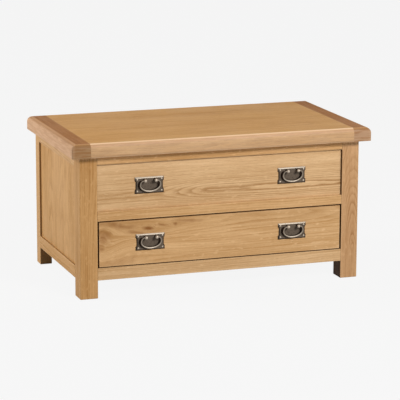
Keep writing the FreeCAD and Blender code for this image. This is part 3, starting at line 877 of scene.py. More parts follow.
class Bench:
    """Blender's own modelling tools, as they are used by hand on one piece."""

    shade_angle = math.radians(40.0)
    doubles_gap = 0.005 * MM

    @staticmethod
    def clear() -> None:
        """Let go of everything."""
        if bpy.context.object and bpy.context.object.mode != "OBJECT":
            bpy.ops.object.mode_set(mode="OBJECT")
        bpy.ops.object.select_all(action="DESELECT")

    @staticmethod
    def hold(*pieces: Piece) -> None:
        """Take only these pieces in hand, with the first one active.

        Args:
            *pieces: The pieces.
        """
        Bench.clear()
        for piece in pieces:
            piece.select_set(True)
        bpy.context.view_layer.objects.active = pieces[0]

    @staticmethod
    def call(piece: Piece, name: str) -> Piece:
        """Name a piece and its mesh.

        Args:
            piece: The piece.
            name: Its name.

        Returns:
            The piece.
        """
        piece.name = name
        piece.data.name = name
        return piece

    @staticmethod
    def settle(name: str) -> Piece:
        """Name the active piece, move its place, turn and size into its mesh, and return it."""
        bpy.ops.object.transform_apply(location=True, rotation=True, scale=True)
        return Bench.call(bpy.context.object, name)

    @staticmethod
    def edit(piece: Piece) -> None:
        """Open a piece for shaping."""
        Bench.hold(piece)
        bpy.ops.object.mode_set(mode="EDIT")

    @staticmethod
    def pick_faces(piece: Piece, test: Callable[[bmesh.types.BMFace], bool]) -> None:
        """Select the faces of the open piece that pass a test.

        Args:
            piece: The open piece.
            test: Tells whether a face is wanted.
        """
        bpy.ops.mesh.select_mode(type="FACE")
        bpy.ops.mesh.select_all(action="DESELECT")
        for face in bmesh.from_edit_mesh(piece.data).faces:
            face.select_set(test(face))
        bmesh.update_edit_mesh(piece.data)

    @staticmethod
    def pick_points(piece: Piece, test: Callable[[Vector], bool]) -> None:
        """Select the points of the open piece that pass a test.

        Args:
            piece: The open piece.
            test: Tells whether a point is wanted, by its place.
        """
        bpy.ops.mesh.select_mode(type="VERT")
        bpy.ops.mesh.select_all(action="DESELECT")
        mesh = bmesh.from_edit_mesh(piece.data)
        for point in mesh.verts:
            point.select_set(test(point.co))
        mesh.select_flush(True)
        bmesh.update_edit_mesh(piece.data)

    @staticmethod
    def draw_out(step: Point, scale: Point = (1.0, 1.0, 1.0), centre: Point = ORIGIN) -> None:
        """Extrude what is selected, and size its new end.

        Args:
            step: How far it is drawn.
            scale: How much the new end is sized along each axis.
            centre: The middle of the sizing.
        """
        bpy.ops.mesh.extrude_region_move(TRANSFORM_OT_translate={"value": step})
        bpy.ops.transform.resize(value=scale, center_override=centre)

    @staticmethod
    def shut() -> None:
        """Merge doubles, turn the faces outwards and close the open piece."""
        bpy.ops.mesh.select_all(action="SELECT")
        bpy.ops.mesh.remove_doubles(threshold=Bench.doubles_gap)
        bpy.ops.mesh.normals_make_consistent(inside=False)
        bpy.ops.object.mode_set(mode="OBJECT")

    @staticmethod
    def soften(piece: Piece, width: float, angle: float) -> None:
        """Close a piece, round its sharp edges and shade it.

        Args:
            piece: The open piece.
            width: Width of the rounding in metres.
            angle: Edges sharper than this many degrees are rounded.
        """
        Bench.shut()
        Bench.hold(piece)
        bevel = piece.modifiers.new("ease", "BEVEL")
        bevel.width = width
        bevel.segments = 2
        bevel.limit_method = "ANGLE"
        bevel.angle_limit = math.radians(angle)
        bpy.ops.object.modifier_apply(modifier=bevel.name)
        bpy.ops.object.shade_smooth_by_angle(angle=Bench.shade_angle)

    @staticmethod
    def copy(pattern: Piece, name: str, shift: Vector, turn: Optional[Matrix] = None) -> Piece:
        """Copy a pattern with its own mesh, and turn and shift the copy's mesh.

        Args:
            pattern: The piece to copy.
            name: The copy's name.
            shift: How far the copy lies from the pattern.
            turn: How the copy is turned about the pattern's origin.

        Returns:
            The copy.
        """
        twin = pattern.copy()
        twin.data = pattern.data.copy()
        twin.data.transform(Matrix.Translation(shift) @ (turn or Matrix()))
        bpy.context.scene.collection.objects.link(twin)
        return Bench.call(twin, name)

    @staticmethod
    def discard(*patterns: Piece) -> None:
        """Put patterns away once their copies are placed.

        Args:
            *patterns: The patterns.
        """
        Bench.clear()
        for pattern in patterns:
            bpy.data.meshes.remove(pattern.data)

    @staticmethod
    def join(pieces: list[Piece], name: str) -> Piece:
        """Join pieces into one named object.

        Args:
            pieces: The pieces, of which the first takes up the rest.
            name: The object's name.

        Returns:
            The object.
        """
        Bench.hold(*pieces)
        bpy.ops.object.join()
        return Bench.call(pieces[0], name)

    @staticmethod
    def rub(piece: Piece, rule: Callable[[Vector, Vector], float]) -> None:
        """Write how worn each point of a piece is.

        Args:
            piece: The piece.
            rule: Gives a point's wear from its place and its normal.
        """
        layer = piece.data.attributes.new("worn", "FLOAT", "POINT")
        for point in piece.data.vertices:
            layer.data[point.index].value = rule(point.co, point.normal)

    @staticmethod
    def locate(piece: Piece, origin: Vector) -> None:
        """Write where each point of a piece lies.

        Args:
            piece: The piece.
            origin: Where the places are measured from.
        """
        layer = piece.data.attributes.new("spot", "FLOAT_VECTOR", "POINT")
        for point in piece.data.vertices:
            layer.data[point.index].vector = point.co - origin


def hand_over(piece: Piece, body: str, node: str) -> None:
    """Let a finished piece ride on a body in place of a CAD node.

    Args:
        piece: The finished piece.
        body: The body that it moves with.
        node: The CAD node that it replaces.
    """
    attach(piece, body)
    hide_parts(node)
    log.info("made %s", piece.name)


@dataclass
class BailHandle:
    """A bail handle about the middle of its plate's back: plate, two ball posts, four pins and a bow."""

    shelf: FinishShelf
    middle_x: float = 240.0 * MM
    plate_width: float = 96.0 * MM
    plate_height: float = 53.0 * MM
    plate_edge: float = 1.2 * MM
    plate_rise: float = 2.3 * MM
    plate_bevel: float = 4.0 * MM
    plate_ease: float = 0.35 * MM
    ear_height: float = 12.0 * MM
    waist: float = 3.0 * MM
    border: float = 1.4 * MM
    field_slope: float = 0.5 * MM
    field_sink: float = 0.5 * MM
    # The top bevel is bright partly from wear and partly as a painted highlight; the other bevels are dark
    # partly as patina and partly as painted shade
    top_share: float = 0.1
    top_wear: float = 0.6
    border_wear: float = 0.3
    bevel_patina_and_shade: float = -1.0
    leaning_up: float = 0.1
    border_share: float = 0.8
    plate_sharp: float = 15.0
    turned_sharp: float = 50.0
    post_spacing: float = 35.0 * MM
    post_above: float = 16.5 * MM
    post_reach: float = 17.0 * MM
    post_foot: float = 0.4 * MM
    post_ease: float = 0.3 * MM
    post_wear: float = 1.1
    post_wear_start: float = 11.0 * MM
    post_wear_length: float = 9.0 * MM
    ball_radius: float = 5.5 * MM
    stem_radius: float = 3.4 * MM
    collar_radius: float = 5.0 * MM
    collar_height: float = 1.5 * MM
    shank_radius: float = 2.0 * MM
    nut_room: float = 4.7 * MM
    pin_inset: float = 8.0 * MM
    pin_radius: float = 3.0 * MM
    pin_height: float = 1.8 * MM
    pin_foot: float = 0.6 * MM
    pin_ease: float = 0.15 * MM
    pin_wear: float = 0.55
    dome_wear: float = 0.5
    bow_width: float = 66.0 * MM
    bow_drop: float = 36.0 * MM
    bow_lean_share: float = 0.21
    shoulder_drop: float = 14.0 * MM
    bow_end_radius: float = 2.0 * MM
    bow_grip_radius: float = 2.85 * MM
    bow_wear: float = 0.3
    grip_wear: float = 0.28
    outward_wear: float = 0.2
    journal_inner: float = 19.0 * MM
    journal_ease: float = 1.0 * MM
    round_share: float = 0.5523

    @property
    def plate_y(self) -> float:
        """Return where the plate's border lies in front of the board."""
        return -self.plate_edge - self.plate_rise

    def plate(self) -> Piece:
        """Cut, waist, bevel and sink the backplate.

        Returns:
            The plate.
        """
        Bench.clear()
        bpy.ops.mesh.primitive_cube_add(size=1.0, location=(0.0, -self.plate_edge / 2, 0.0),
                                        scale=(self.plate_width, self.plate_edge, self.plate_height))
        piece = Bench.settle("bail_plate")
        half = self.plate_width / 2
        ear = self.plate_height / 2 - self.ear_height
        inner = ear - self.waist
        Bench.edit(piece)
        for level in (-ear, -inner, inner, ear):
            bpy.ops.mesh.select_all(action="SELECT")
            bpy.ops.mesh.bisect(plane_co=(0.0, 0.0, level), plane_no=Way.UP.value)
        for side in Side:
            Bench.pick_points(piece, lambda co: side.value * co.x > half - NEAR and abs(co.z) < inner + NEAR)
            bpy.ops.transform.translate(value=(-side.value * self.waist, 0.0, 0.0))
        Bench.pick_faces(piece, lambda face: face.normal.y < -FACING)
        for thickness, depth in ((self.plate_bevel, self.plate_rise), (self.border, 0.0),
                                 (self.field_slope, -self.field_sink)):
            bpy.ops.mesh.inset(thickness=thickness, depth=depth)
        Bench.soften(piece, self.plate_ease, self.plate_sharp)

        def worn(co: Vector, normal: Vector) -> float:
            """Rub the top bevel bright, partly as wear and partly as a painted highlight, and leave the other
            bevels dark, partly as patina and partly as painted shade.

            Args:
                co: The point's place.
                normal: The point's normal.

            Returns:
                How worn it is.
            """
            top = max(0.0, 1.0 - (0.5 - co.z / self.plate_height) / self.top_share)
            if top > 0.0 and normal.z > self.leaning_up:
                return self.top_wear
            return self.border_wear * top if co.y / self.plate_y > self.border_share else self.bevel_patina_and_shade

        Bench.rub(piece, worn)
        # The spots place the bow's painted shadow on the plate
        Bench.locate(piece, Vector((0.0, 0.0, self.post_above - self.shoulder_drop)))
        return piece

    def post(self, board: float) -> Piece:
        """Draw one post out of a ball: neck, collar and shank.

        Args:
            board: How thick the board is that the shank goes through.

        Returns:
            The post.
        """
        ball = (0.0, -self.post_reach, 0.0)
        Bench.clear()
        bpy.ops.mesh.primitive_uv_sphere_add(segments=24, ring_count=16, radius=self.ball_radius,
                                             location=ball, rotation=(math.pi / 2, 0.0, 0.0))
        piece = Bench.settle("ball_post")
        neck = self.stem_radius
        foot = self.field_sink + self.post_foot
        Bench.edit(piece)
        Bench.pick_faces(piece, lambda face: face.normal.y > 0.0 and max(
            math.hypot(corner.co.x, corner.co.z) for corner in face.verts) < neck + NEAR)
        start = max(point.co.y for point in bmesh.from_edit_mesh(piece.data).verts if point.select)
        for reach, scale in ((self.plate_y - self.collar_height - start, 1.0),
                             (0.0, self.collar_radius / neck),
                             (self.collar_height + foot, 1.0),
                             (0.0, self.shank_radius / self.collar_radius),
                             (board + self.nut_room - self.plate_y - foot, 1.0)):
            Bench.draw_out((0.0, reach, 0.0), (scale, 1.0, scale), ball)
        Bench.soften(piece, self.post_ease, self.turned_sharp)
        Bench.rub(piece, lambda co, normal:
                  self.post_wear * (-self.post_wear_start - co.y) / self.post_wear_length)
        return piece

    def pin(self) -> Piece:
        """Make one domed pin from half a ball with a thin foot.

        Returns:
            The pin.
        """
        base = (0.0, self.plate_y, 0.0)
        Bench.clear()
        bpy.ops.mesh.primitive_uv_sphere_add(segments=20, ring_count=12, radius=self.pin_radius,
                                             location=base, rotation=(math.pi / 2, 0.0, 0.0),
                                             scale=(1.0, 1.0, self.pin_height / self.pin_radius))
        piece = Bench.settle("plate_pin")
        Bench.edit(piece)
        bpy.ops.mesh.select_all(action="SELECT")
        bpy.ops.mesh.bisect(plane_co=base, plane_no=Way.BACK.value, use_fill=True, clear_outer=True)
        Bench.pick_faces(piece, lambda face: face.normal.y > FACING)
        Bench.draw_out((0.0, self.field_sink + self.pin_foot, 0.0))
        Bench.soften(piece, self.pin_ease, self.turned_sharp)
        Bench.rub(piece, lambda co, normal:
                  self.pin_wear + self.dome_wear * max(0.0, (self.plate_y - co.y) / self.pin_height))
        return piece

    def bow(self) -> Piece:
        """Sweep the tapered bow from one journal to the other.

        Returns:
            The bow.
        """
        at = Vector((0.0, -self.post_reach, self.post_above))
        start = self.post_spacing / 2 + self.ball_radius
        half = self.bow_width / 2
        low = self.bow_drop - self.shoulder_drop
        lead = (self.journal_ease, 0.0)
        turn = Matrix.Rotation(math.asin(self.bow_lean_share), 3, "X")
        right = [((self.journal_inner, 0.0), lead, lead),
                 ((start, 0.0), lead, ((half - start) * self.round_share, 0.0)),
                 ((half, -self.shoulder_drop), (0.0, -self.shoulder_drop * self.round_share),
                  (0.0, -low * self.round_share))]
        left = [((-spot[0], spot[1]), (after[0], -after[1]), (before[0], -before[1]))
                for spot, before, after in reversed(right)]
        level = (-half * self.round_share, 0.0)
        stops = right + [((0.0, -self.bow_drop), level, level)] + left
        Bench.clear()
        bpy.ops.curve.primitive_bezier_curve_add(location=ORIGIN)
        curve = bpy.context.object.data
        points = curve.splines[0].bezier_points
        points.add(len(stops) - len(points))
        for point, (spot, before, after) in zip(points, stops):
            point.handle_left_type = "FREE"
            point.handle_right_type = "FREE"
            point.co = at + turn @ Vector((spot[0], 0.0, spot[1]))
            point.handle_left = point.co - turn @ Vector((before[0], 0.0, before[1]))
            point.handle_right = point.co + turn @ Vector((after[0], 0.0, after[1]))
            drop = spot[1] / self.bow_drop
            radius = self.bow_end_radius + (self.bow_grip_radius - self.bow_end_radius) * drop * drop
            point.radius = radius / self.bow_end_radius
        curve.dimensions = "3D"
        curve.resolution_u = 12
        curve.bevel_depth = self.bow_end_radius
        curve.bevel_resolution = 5
        curve.use_fill_caps = True
        bpy.ops.object.convert(target="MESH")
        piece = Bench.settle("bail_bow")
        Bench.edit(piece)
        Bench.shut()
        bpy.ops.object.shade_smooth_by_angle(angle=math.radians(self.turned_sharp))

        def worn(co: Vector, normal: Vector) -> float:
            """Rub the grip and the outward side most."""
            grip = min(1.0, max(0.0, (at.z - co.z) / self.bow_drop))
            return self.bow_wear + self.grip_wear * grip + self.outward_wear * max(0.0, -normal.y)

        Bench.rub(piece, worn)
        return piece

    def build(self) -> None:
        """Model each part once, copy it to every handle and group what the CAD keeps in one node."""
        plate = self.plate()
        bow = self.bow()
        pin = self.pin()
        half = self.post_spacing / 2
        pin_x = self.plate_width / 2 - self.pin_inset
        pin_z = self.plate_height / 2 - self.pin_inset
        for tier in Tier:
            front, body = tier.value
            low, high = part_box(front)
            post = self.post(high[1] - low[1])
            for pattern in (plate, bow, pin, post):
                self.shelf.dress(pattern, self.shelf.pewter_metal)
            posts: list[Piece] = []
            pins: list[Piece] = []
            for side in Side:
                at = Vector((side.value * self.middle_x, low[1], (low[2] + high[2]) / 2))
                label = f"{tier.label}_{side.label}"
                hand_over(Bench.copy(plate, f"bail_plate_{label}", at), body, f"handle_plate_{label}")
                hand_over(Bench.copy(bow, f"bow_{label}", at), f"bail_{label}", f"bail_{label}")
                posts += [Bench.copy(post, "post", at + Vector((x, 0.0, self.post_above)))
                          for x in (-half, half)]
                pins += [Bench.copy(pin, "pin", at + Vector((x, 0.0, z)))
                         for x in (-pin_x, pin_x) for z in (-pin_z, pin_z)]
            for pieces, name, node in ((posts, "ball_posts", "handle_posts"),
                                       (pins, "plate_pins", "handle_pins")):
                joined = Bench.join(pieces, f"{name}_{tier.label}")
                hand_over(joined, body, f"{node}_{tier.label}")
            Bench.discard(post)
        Bench.discard(plate, bow, pin)


@dataclass
class Woodwork:
    """Every wooden CAD node with the way it was sawn and its finish."""

    shelf: FinishShelf
    seed: float = 1.0
    seed_step: float = 1.37
    # Painted shade: a near-black brown laid on faces in recesses and gaps, where shade falls
    hollow_dark: Colour = paint(60, 30, 3)
    # Painted light: a pale tint that offsets the lid's shadow on the top rail and on the front legs' tops
    painted_light_under_lid: Colour = paint(250, 202, 146)
    gap_fade: float = 1.2 * MM
    ledge_fade: float = 0.8 * MM

    def finish(self, finish: OakFinish, cut: BoardCut, *pieces: str) -> None:
        """Dress some pieces in one finish, each from another part of the tree.

        Args:
            finish: The wood finish.
            cut: How the pieces were sawn.
            *pieces: The CAD nodes.
        """
        for piece in pieces:
            self.seed += self.seed_step
            self.shelf.dress(frame["nodes"][piece], finish.make(self.shelf, piece, cut, self.seed))
            log.info("dressed %s", piece)

    def lid(self) -> None:
        """Dress the lid's board and the cleats across its ends, with painted shade, light and highlight on
        their edges.
        """
        # Painted shade: the lid's front edge and the cleats' fronts darken towards their bottom edge
        painted_underside_shade = FaceTone(Way.DOWN, paint(140, 98, 52), 0.5, 8.0 * MM, tint=True)
        # The first tint tones the front edge, the second darkens the flat front below the rounding as painted
        # shade, the third lays grain bands
        front_edge = (FaceTone(Way.FRONT, paint(202, 161, 126), 0.9, 17.0 * MM, tint=True),
                      FaceTone(Way.FRONT, paint(187, 139, 70), 0.9, 3.0 * MM, tint=True),
                      FaceTone(Way.FRONT, paint(174, 128, 70), 0.45, 14.0 * MM, tint=True, bands=1.0), painted_underside_shade)
        self.finish(self.shelf.lid_honey, BoardCut(Grain.LID, board_width=0.14, pith_depth=0.09, scatter=0.8,
                                                   faces=front_edge), "lid_board")
        end_grain = {Side.LEFT: (paint(142, 108, 76), paint(168, 140, 106)),
                     Side.RIGHT: (paint(156, 120, 90), paint(192, 162, 134))}
        for side, (dim, light) in end_grain.items():
            # Painted light: the cleat's outer face and rounding are painted paler than its dark top, as a
            # sheen
            faces = (FaceTone(side.outward, paint(214, 174, 138), 0.85, 12.0 * MM, bands=0.25),
                     FaceTone(Way.FRONT, dim, 0.75, 14.0 * MM),
                     FaceTone(Way.FRONT, light, 0.4, 10.0 * MM, bands=1.0), painted_underside_shade)
            cut = BoardCut(Grain.DEEP_TOP, pith_depth=0.04, pith_across=0.02, faces=faces)
            self.finish(self.shelf.cleat_brown, cut, f"lid_cleat_{side.label}")

    def legs(self) -> None:
        """Dress the four legs, with painted shade on faces in the recesses and painted light on the front
        legs' tops.
        """
        plain = BoardCut(Grain.UPRIGHT_FRONT, pith_depth=0.09, pith_across=0.05, waver=0.018, tone=-0.1)
        figured = BoardCut(Grain.UPRIGHT_FRONT, pith_depth=0.05, pith_across=0.012, pith_lean=0.13,
                           ring_width=0.0042, waver=0.02, figure=2.5, tone=-0.1)
        # Painted shade: the rear legs' front faces, seen in the side's recess, are darkened
        rear = BoardCut(Grain.UPRIGHT_SIDE, pith_depth=0.07, pith_across=0.03, pith_lean=0.06, waver=0.018,
                        tone=0.4, faces=(FaceTone(Way.FRONT, self.hollow_dark, 0.4, self.gap_fade),))
        fronts = {Side.LEFT: (self.shelf.leg_honey, plain), Side.RIGHT: (self.shelf.right_leg_honey, figured)}
        for side, (oak, cut) in fronts.items():
            # Painted shade on the front legs' inner faces in the recesses and gaps, and painted light on
            # their tops under the lid
            faces = (FaceTone(side.inward, self.hollow_dark, 0.85, self.gap_fade),
                     FaceTone(Way.UP, self.painted_light_under_lid, 1.0, 15.0 * MM, tint=True))
            self.finish(oak, replace(cut, faces=faces), f"leg_front_{side.label}")
            self.finish(self.shelf.leg_honey, rear, f"leg_rear_{side.label}")

    def front(self) -> None:
        """Dress the rails of the front and the back, and the false drawer front."""
        shelf = self.shelf
        rail = BoardCut(Grain.FRONT, pith_across=0.05)
        # Painted light: the top rail's upper band is tinted paler against the lid's shadow; the rail is toned
        # darker overall
        shade = (FaceTone(Way.UP, self.painted_light_under_lid, 1.0, 27.0 * MM, tint=True),)
        self.finish(shelf.honey, replace(rail, tone=-0.5, faces=shade), "front_top_rail")
        self.finish(shelf.honey, replace(rail, tone=-0.22), "front_middle_rail")
        self.finish(shelf.honey, rail, "rear_top_rail", "rear_bottom_rail")
        # Painted shade: the bottom rail's top face, seen in the drawer's bottom gap, is darkened
        ledge = (FaceTone(Way.UP, self.hollow_dark, 0.7, self.ledge_fade),)
        self.finish(shelf.panel_honey, replace(rail, tone=-0.08, faces=ledge), "front_bottom_rail")
        # Painted shadow on the panel's right end by the leg, and painted light on its top band under the top
        # rail
        corner = (FaceTone(Way.RIGHT, self.hollow_dark, 0.6, 11.0 * MM),
                  FaceTone(Way.UP, paint(232, 200, 156), 0.6, 15.0 * MM, tint=True))
        flame = BoardCut(Grain.FRONT, pith_depth=0.045, pith_across=-0.031, pith_lean=-0.185, lean_start=-0.2,
                         lean_end=-0.06, ring_width=0.0085, waver=0.012, oval=2.0, figure=5.0,
                         figure_middle=0.1, figure_reach=0.55, faces=corner)
        self.finish(shelf.panel_honey, flame, "front_panel")

    def sides(self) -> None:
        """Dress the rails and the panels of the two sides."""
        rail = BoardCut(Grain.DEEP_SIDE, pith_depth=0.07, pith_across=0.03)
        self.finish(self.shelf.honey, rail, "side_top_rail_left", "side_top_rail_right")
        # Painted shade: a dark line along the side bottom rails' top face below the panel
        ledge = (FaceTone(Way.UP, self.hollow_dark, 0.3, self.ledge_fade),)
        self.finish(self.shelf.side_honey, replace(rail, tone=-0.15, faces=ledge),
                    "side_bottom_rail_left", "side_bottom_rail_right")
        # Painted shade: the side panel's rear end darkens into the recess by the rear leg
        corner = (FaceTone(Way.BACK, self.hollow_dark, 0.7, 15.0 * MM),)
        panel = BoardCut(Grain.UPRIGHT_SIDE, board_width=0.136, pith_depth=0.09, scatter=0.9, pith_lean=0.05,
                         tone=-0.08, faces=corner)
        self.finish(self.shelf.side_honey, panel, "side_panel_left", "side_panel_right")

    def drawer_front(self) -> None:
        """Dress the drawer's front with its knots and its stains, and its edges darkened as painted shade in
        its gaps.
        """
        face_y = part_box("drawer_front")[0][1]
        knots = tuple(KnotMark((x, face_y, z), *marks) for x, z, *marks in (
            (-0.246, 0.2145, 0.028, 0.010, 0.95), (-0.285, 0.208, 0.05, 0.006, 0.6),
            (-0.205, 0.219, 0.045, 0.005, 0.45), (-0.156, 0.2213, 0.010, 0.0045, 0.7),
            (-0.392, 0.194, 0.034, 0.034, 0.6), (-0.4, 0.18, 0.014, 0.009, 0.5),
            (-0.345, 0.216, 0.085, 0.014, 0.5), (-0.11, 0.229, 0.07, 0.008, 0.5),
            (-0.35, 0.118, 0.11, 0.024, 0.32)))
        # Painted shade: the top, side and bottom edges are laid dark brown so the gaps around the drawer read
        # dark
        edge_fade = 1.5 * MM
        faces = (FaceTone(Way.RIGHT, paint(226, 190, 146), 0.35, 0.55, tint=True),
                 FaceTone(Way.UP, paint(172, 130, 82), 0.5, 60.0 * MM, tint=True),
                 FaceTone(Way.UP, paint(104, 62, 22), 0.6, edge_fade))
        faces += tuple(FaceTone(way, paint(96, 56, 22), 0.8, edge_fade)
                       for way in (Way.LEFT, Way.RIGHT, Way.DOWN))
        self.finish(self.shelf.honey, BoardCut(Grain.FRONT, pith_depth=0.08, pith_across=0.06, tone=-0.18,
                                               knots=knots, faces=faces), "drawer_front")

    def inside(self) -> None:
        """Dress the drawer's box, what it runs on, the floors and the back."""
        inner, ply = self.shelf.inner, self.shelf.ply
        side = BoardCut(Grain.DEEP_SIDE, pith_depth=0.08)
        sheet = BoardCut(Grain.LID, board_width=0.24, pith_depth=0.1, scatter=1.0)
        self.finish(inner, side, "drawer_side_left", "drawer_side_right")
        self.finish(inner, replace(side, grain=Grain.FRONT), "drawer_back", "drawer_kickers", "drawer_stops")
        self.finish(inner, replace(side, pith_depth=0.05), "drawer_runner_left", "drawer_runner_right",
                    "floor_cleats")
        self.finish(ply, sheet, "chest_floor", "drawer_bottom")
        self.finish(ply, replace(sheet, grain=Grain.FRONT, board_width=0.2), "back_panel")

    def build(self) -> None:
        """Dress the lid, the case and the drawer."""
        for dress in (self.lid, self.legs, self.front, self.sides, self.drawer_front, self.inside):
            dress()


@dataclass(frozen=True)
class ScrewRow:
    """The screws of one CAD node: their body, the row's axis, how the heads face, and each one's step."""

    node: str
    body: str
    along: int
    outward: Way
    steps: tuple[float, ...] = (0.0,)


@dataclass
class Ironwork:
    """Hinges, lid stay and nuts, which keep their CAD shapes, and their cross-headed screws."""

    shelf: FinishShelf
    steel_nodes: tuple[str, ...] = (
        "hinge_case_leaves", "hinge_lid_leaves", "hinge_pins", "stay_case_bracket", "stay_case_rivet",
        "stay_lid_bracket", "stay_lid_rivet", "stay_lower_arm", "stay_elbow_rivet", "stay_upper_arm",
        "handle_nuts_upper", "handle_nuts_lower")
    hole_radius: float = 3.6 * MM
    head_radius: float = 3.3 * MM
    head_depth: float = 2.0 * MM
    head_sink: float = 0.05 * MM
    head_ease: float = 0.08 * MM
    head_sharp: float = 30.0
    rim: float = 0.25 * MM
    shank_radius: float = 1.8 * MM
    point_length: float = 4.0 * MM
    point_taper: float = 0.15
    recess_radius: float = 2.2 * MM
    recess_depth: float = 1.2 * MM
    recess_taper: float = 0.55
    arm_half: float = 0.5 * MM
    turn_step: float = math.radians(37.0)
    hinge_steps: tuple[float, ...] = (0.0, 26.0 * MM, 52.0 * MM)
    hinge_screw: float = 17.0 * MM
    stay_screw: float = 15.0 * MM

    def screw(self, length: float) -> Piece:
        """Turn one countersunk screw with its head up: cross recess, cone, shank and point.

        Args:
            length: From the top of the head to the point.

        Returns:
            The screw.
        """
        Bench.clear()
        bpy.ops.mesh.primitive_cylinder_add(vertices=24, radius=self.head_radius, depth=self.rim,
                                            location=(0.0, 0.0, -self.head_sink - self.rim / 2))
        piece = Bench.settle("wood_screw")
        Bench.edit(piece)
        Bench.pick_faces(piece, lambda face: face.normal.z < -FACING)
        cone = self.head_depth - self.rim - self.head_sink
        for drop, scale in ((cone, self.shank_radius / self.head_radius),
                            (length - self.head_depth - self.point_length, 1.0),
                            (self.point_length, self.point_taper)):
            Bench.draw_out((0.0, 0.0, -drop), (scale, scale, 1.0))
        Bench.pick_faces(piece, lambda face: face.normal.z > FACING)
        bpy.ops.mesh.inset(thickness=self.head_radius - self.recess_radius, depth=0.0)

        def within(face: bmesh.types.BMFace) -> bool:
            """Tell whether a face lies on top of the head, inside the rim."""
            reach = max(math.hypot(corner.co.x, corner.co.y) for corner in face.verts)
            return face.normal.z > FACING and reach < self.recess_radius + NEAR / 2

        def in_cross(face: bmesh.types.BMFace) -> bool:
            """Tell whether a face is one of the cross's arms or its middle."""
            middle = face.calc_center_median()
            return within(face) and min(abs(middle.x), abs(middle.y)) < self.arm_half

        for way in (Way.RIGHT, Way.LEFT, Way.BACK, Way.FRONT):
            Bench.pick_faces(piece, within)
            bpy.ops.mesh.bisect(plane_co=Vector(way.value) * self.arm_half, plane_no=way.value)
        Bench.pick_faces(piece, in_cross)
        Bench.draw_out((0.0, 0.0, -self.recess_depth), (self.recess_taper, self.recess_taper, 1.0))
        Bench.soften(piece, self.head_ease, self.head_sharp)
        self.shelf.dress(piece, self.shelf.screw_metal)
        return piece

    def drive(self, row: ScrewRow, pattern: Piece) -> None:
        """Copy a screw into every hole of one row.

        Args:
            row: The screws' CAD node and how they stand.
            pattern: The screw to copy.
        """
        low, high = (Vector(corner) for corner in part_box(row.node))
        outward = Vector(row.outward.value)
        seat = (low + high) / 2 + Vector(part * gap / 2 for part, gap in zip(outward, high - low))
        aim = Vector(Way.UP.value).rotation_difference(outward).to_matrix().to_4x4()
        screws: list[Piece] = []
        for spot in ([low[row.along] + self.hole_radius + step for step in row.steps]
                     + [high[row.along] - self.hole_radius - step for step in row.steps]):
            seat[row.along] = spot
            turn = aim @ Matrix.Rotation(len(screws) * self.turn_step, 4, "Z")
            screws.append(Bench.copy(pattern, "screw", seat, turn))
        hand_over(Bench.join(screws, f"cross_head_{row.node}"), row.body, row.node)

    def build(self) -> None:
        """Dress the steel nodes and drive the screws."""
        for node in self.steel_nodes:
            self.shelf.dress(frame["nodes"][node], self.shelf.steel_metal)
            log.info("dressed %s", node)
        hinge_rows = (ScrewRow("hinge_case_screws", "case", 0, Way.UP, self.hinge_steps),
                      ScrewRow("hinge_lid_screws", "lid", 0, Way.DOWN, self.hinge_steps))
        stay_rows = (ScrewRow("stay_case_screws", "case", 2, Way.LEFT),
                     ScrewRow("stay_lid_screws", "lid", 1, Way.DOWN))
        for rows, length in ((hinge_rows, self.hinge_screw), (stay_rows, self.stay_screw)):
            pattern = self.screw(length)
            for row in rows:
                self.drive(row, pattern)
            Bench.discard(pattern)


@dataclass(frozen=True)
class Lamp:
    """One soft lamp of the studio."""

    name: str
    place: Point
    width: float
    height: float
    power: float
    aim: Point = (0.0, 0.0, 0.25)

    def build(self) -> None:
        """Hang the lamp and turn it to its aim."""
        Bench.clear()
        turn = (Vector(self.aim) - Vector(self.place)).to_track_quat("-Z", "Y").to_euler()
        bpy.ops.object.light_add(type="AREA", location=self.place, rotation=turn)
        lamp = bpy.context.object
        lamp.name = self.name
        lamp.data.shape = "RECTANGLE"
        lamp.data.size = self.width
        lamp.data.size_y = self.height
        lamp.data.energy = self.power


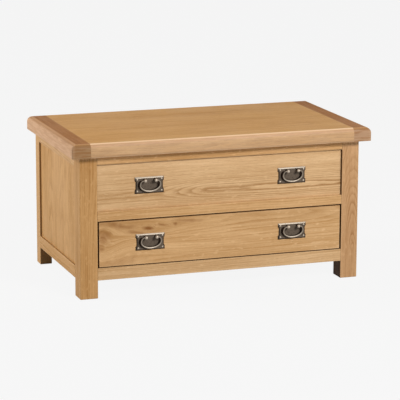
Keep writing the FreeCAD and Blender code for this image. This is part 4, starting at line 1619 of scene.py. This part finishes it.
@dataclass
class Studio:
    """Pale floor, plain world and soft lamps."""

    floor_size: float = 90.0
    backdrop: Colour = paint(246, 246, 246)
    floor_glow: Colour = paint(249, 249, 249)
    floor_colour: Colour = (0.5, 0.5, 0.5, 1.0)
    sky_colour: Colour = (1.0, 1.0, 1.0, 1.0)
    sky: float = 0.2
    shadow_share: float = 0.05
    lamps: tuple[Lamp, ...] = (
        Lamp("key_lamp", (1.5, -4.5, 2.9), 1.6, 1.3, 248.0),
        Lamp("side_lamp", (-3.6, 1.1, 2.0), 1.6, 1.8, 107.0),
    )

    def start(self, owner: Union[bpy.types.World, bpy.types.Material]) -> tuple[NodeSheet, Wire]:
        """Clear the nodes of a world or a material.

        Args:
            owner: The world or the material.

        Returns:
            Its node sheet, and 1 for rays that look at the backdrop straight, by gloss or through glass.
        """
        owner.use_nodes = True
        owner.node_tree.nodes.clear()
        sheet = NodeSheet(owner.node_tree)
        path = sheet.outputs(sheet.put("ShaderNodeLightPath"))
        seen = sheet.math("MAXIMUM", path.is_camera_ray, path.is_glossy_ray)
        return sheet, sheet.math("MAXIMUM", seen, path.is_transmission_ray)

    def world(self) -> None:
        """Light the scene evenly and show a plain backdrop."""
        world = bpy.data.worlds.new("studio")
        bpy.context.scene.world = world
        sheet, seen = self.start(world)
        light = sheet.run("ShaderNodeBackground", {"Color": self.sky_colour, "Strength": self.sky})
        plain = sheet.run("ShaderNodeBackground", {"Color": self.backdrop})
        mix = sheet.run("ShaderNodeMixShader", {0: seen, 1: light, 2: plain})
        sheet.feed(sheet.put("ShaderNodeOutputWorld"), {"Surface": mix})

    def floor(self) -> None:
        """Lay the floor, which shows the backdrop's colour and keeps a faint shadow."""
        Bench.clear()
        bpy.ops.mesh.primitive_plane_add(size=self.floor_size, location=ORIGIN)
        floor = bpy.context.object
        floor.name = "studio_floor"
        material = bpy.data.materials.new("studio_floor")
        sheet, seen = self.start(material)
        real = sheet.run("ShaderNodeBsdfDiffuse", {"Color": self.floor_colour})
        glow = sheet.run("ShaderNodeEmission", {"Color": self.floor_glow})
        mix = sheet.run("ShaderNodeMixShader", {0: seen * (1.0 - self.shadow_share), 1: real, 2: glow})
        sheet.feed(sheet.put("ShaderNodeOutputMaterial"), {"Surface": mix})
        floor.data.materials.append(material)

    def build(self) -> None:
        """Build the world, the floor and the lamps."""
        self.world()
        self.floor()
        for lamp in self.lamps:
            lamp.build()
        bpy.context.scene.view_settings.view_transform = "Standard"


@dataclass(frozen=True)
class PhotoCamera:
    """The camera as the photograph was taken."""

    place: Point = (-2.23774, -6.48706, 1.73698)
    yaw: float = 0.33394
    pitch: float = 0.21512
    roll: float = 0.003
    lens: float = 191.851
    sensor: float = 36.0
    sight: float = 200.0

    def build(self) -> None:
        """Stand the camera and make it the scene's own."""
        ahead = Vector((math.sin(self.yaw) * math.cos(self.pitch), math.cos(self.yaw) * math.cos(self.pitch),
                        -math.sin(self.pitch)))
        right = Vector((math.cos(self.yaw), -math.sin(self.yaw), 0.0))
        up = right.cross(ahead)
        turned_right = right * math.cos(self.roll) + up * math.sin(self.roll)
        turned_up = up * math.cos(self.roll) - right * math.sin(self.roll)
        axes = Matrix((turned_right, turned_up, -ahead)).transposed()
        Bench.clear()
        bpy.ops.object.camera_add(location=self.place, rotation=axes.to_euler())
        camera = bpy.context.object
        camera.name = "photo_camera"
        camera.data.sensor_width = self.sensor
        camera.data.lens = self.lens
        camera.data.clip_end = self.sight
        bpy.context.scene.camera = camera


def main() -> None:
    """Build the studio, the finishes and the pieces in order."""
    logging.basicConfig(level=logging.INFO, format="%(name)s: %(message)s")
    PhotoCamera().build()
    Studio().build()
    shelf = FinishShelf()
    Woodwork(shelf).build()
    Ironwork(shelf).build()
    BailHandle(shelf).build()
    log.info("the chest is dressed")


if __name__ == "__main__":
    main()
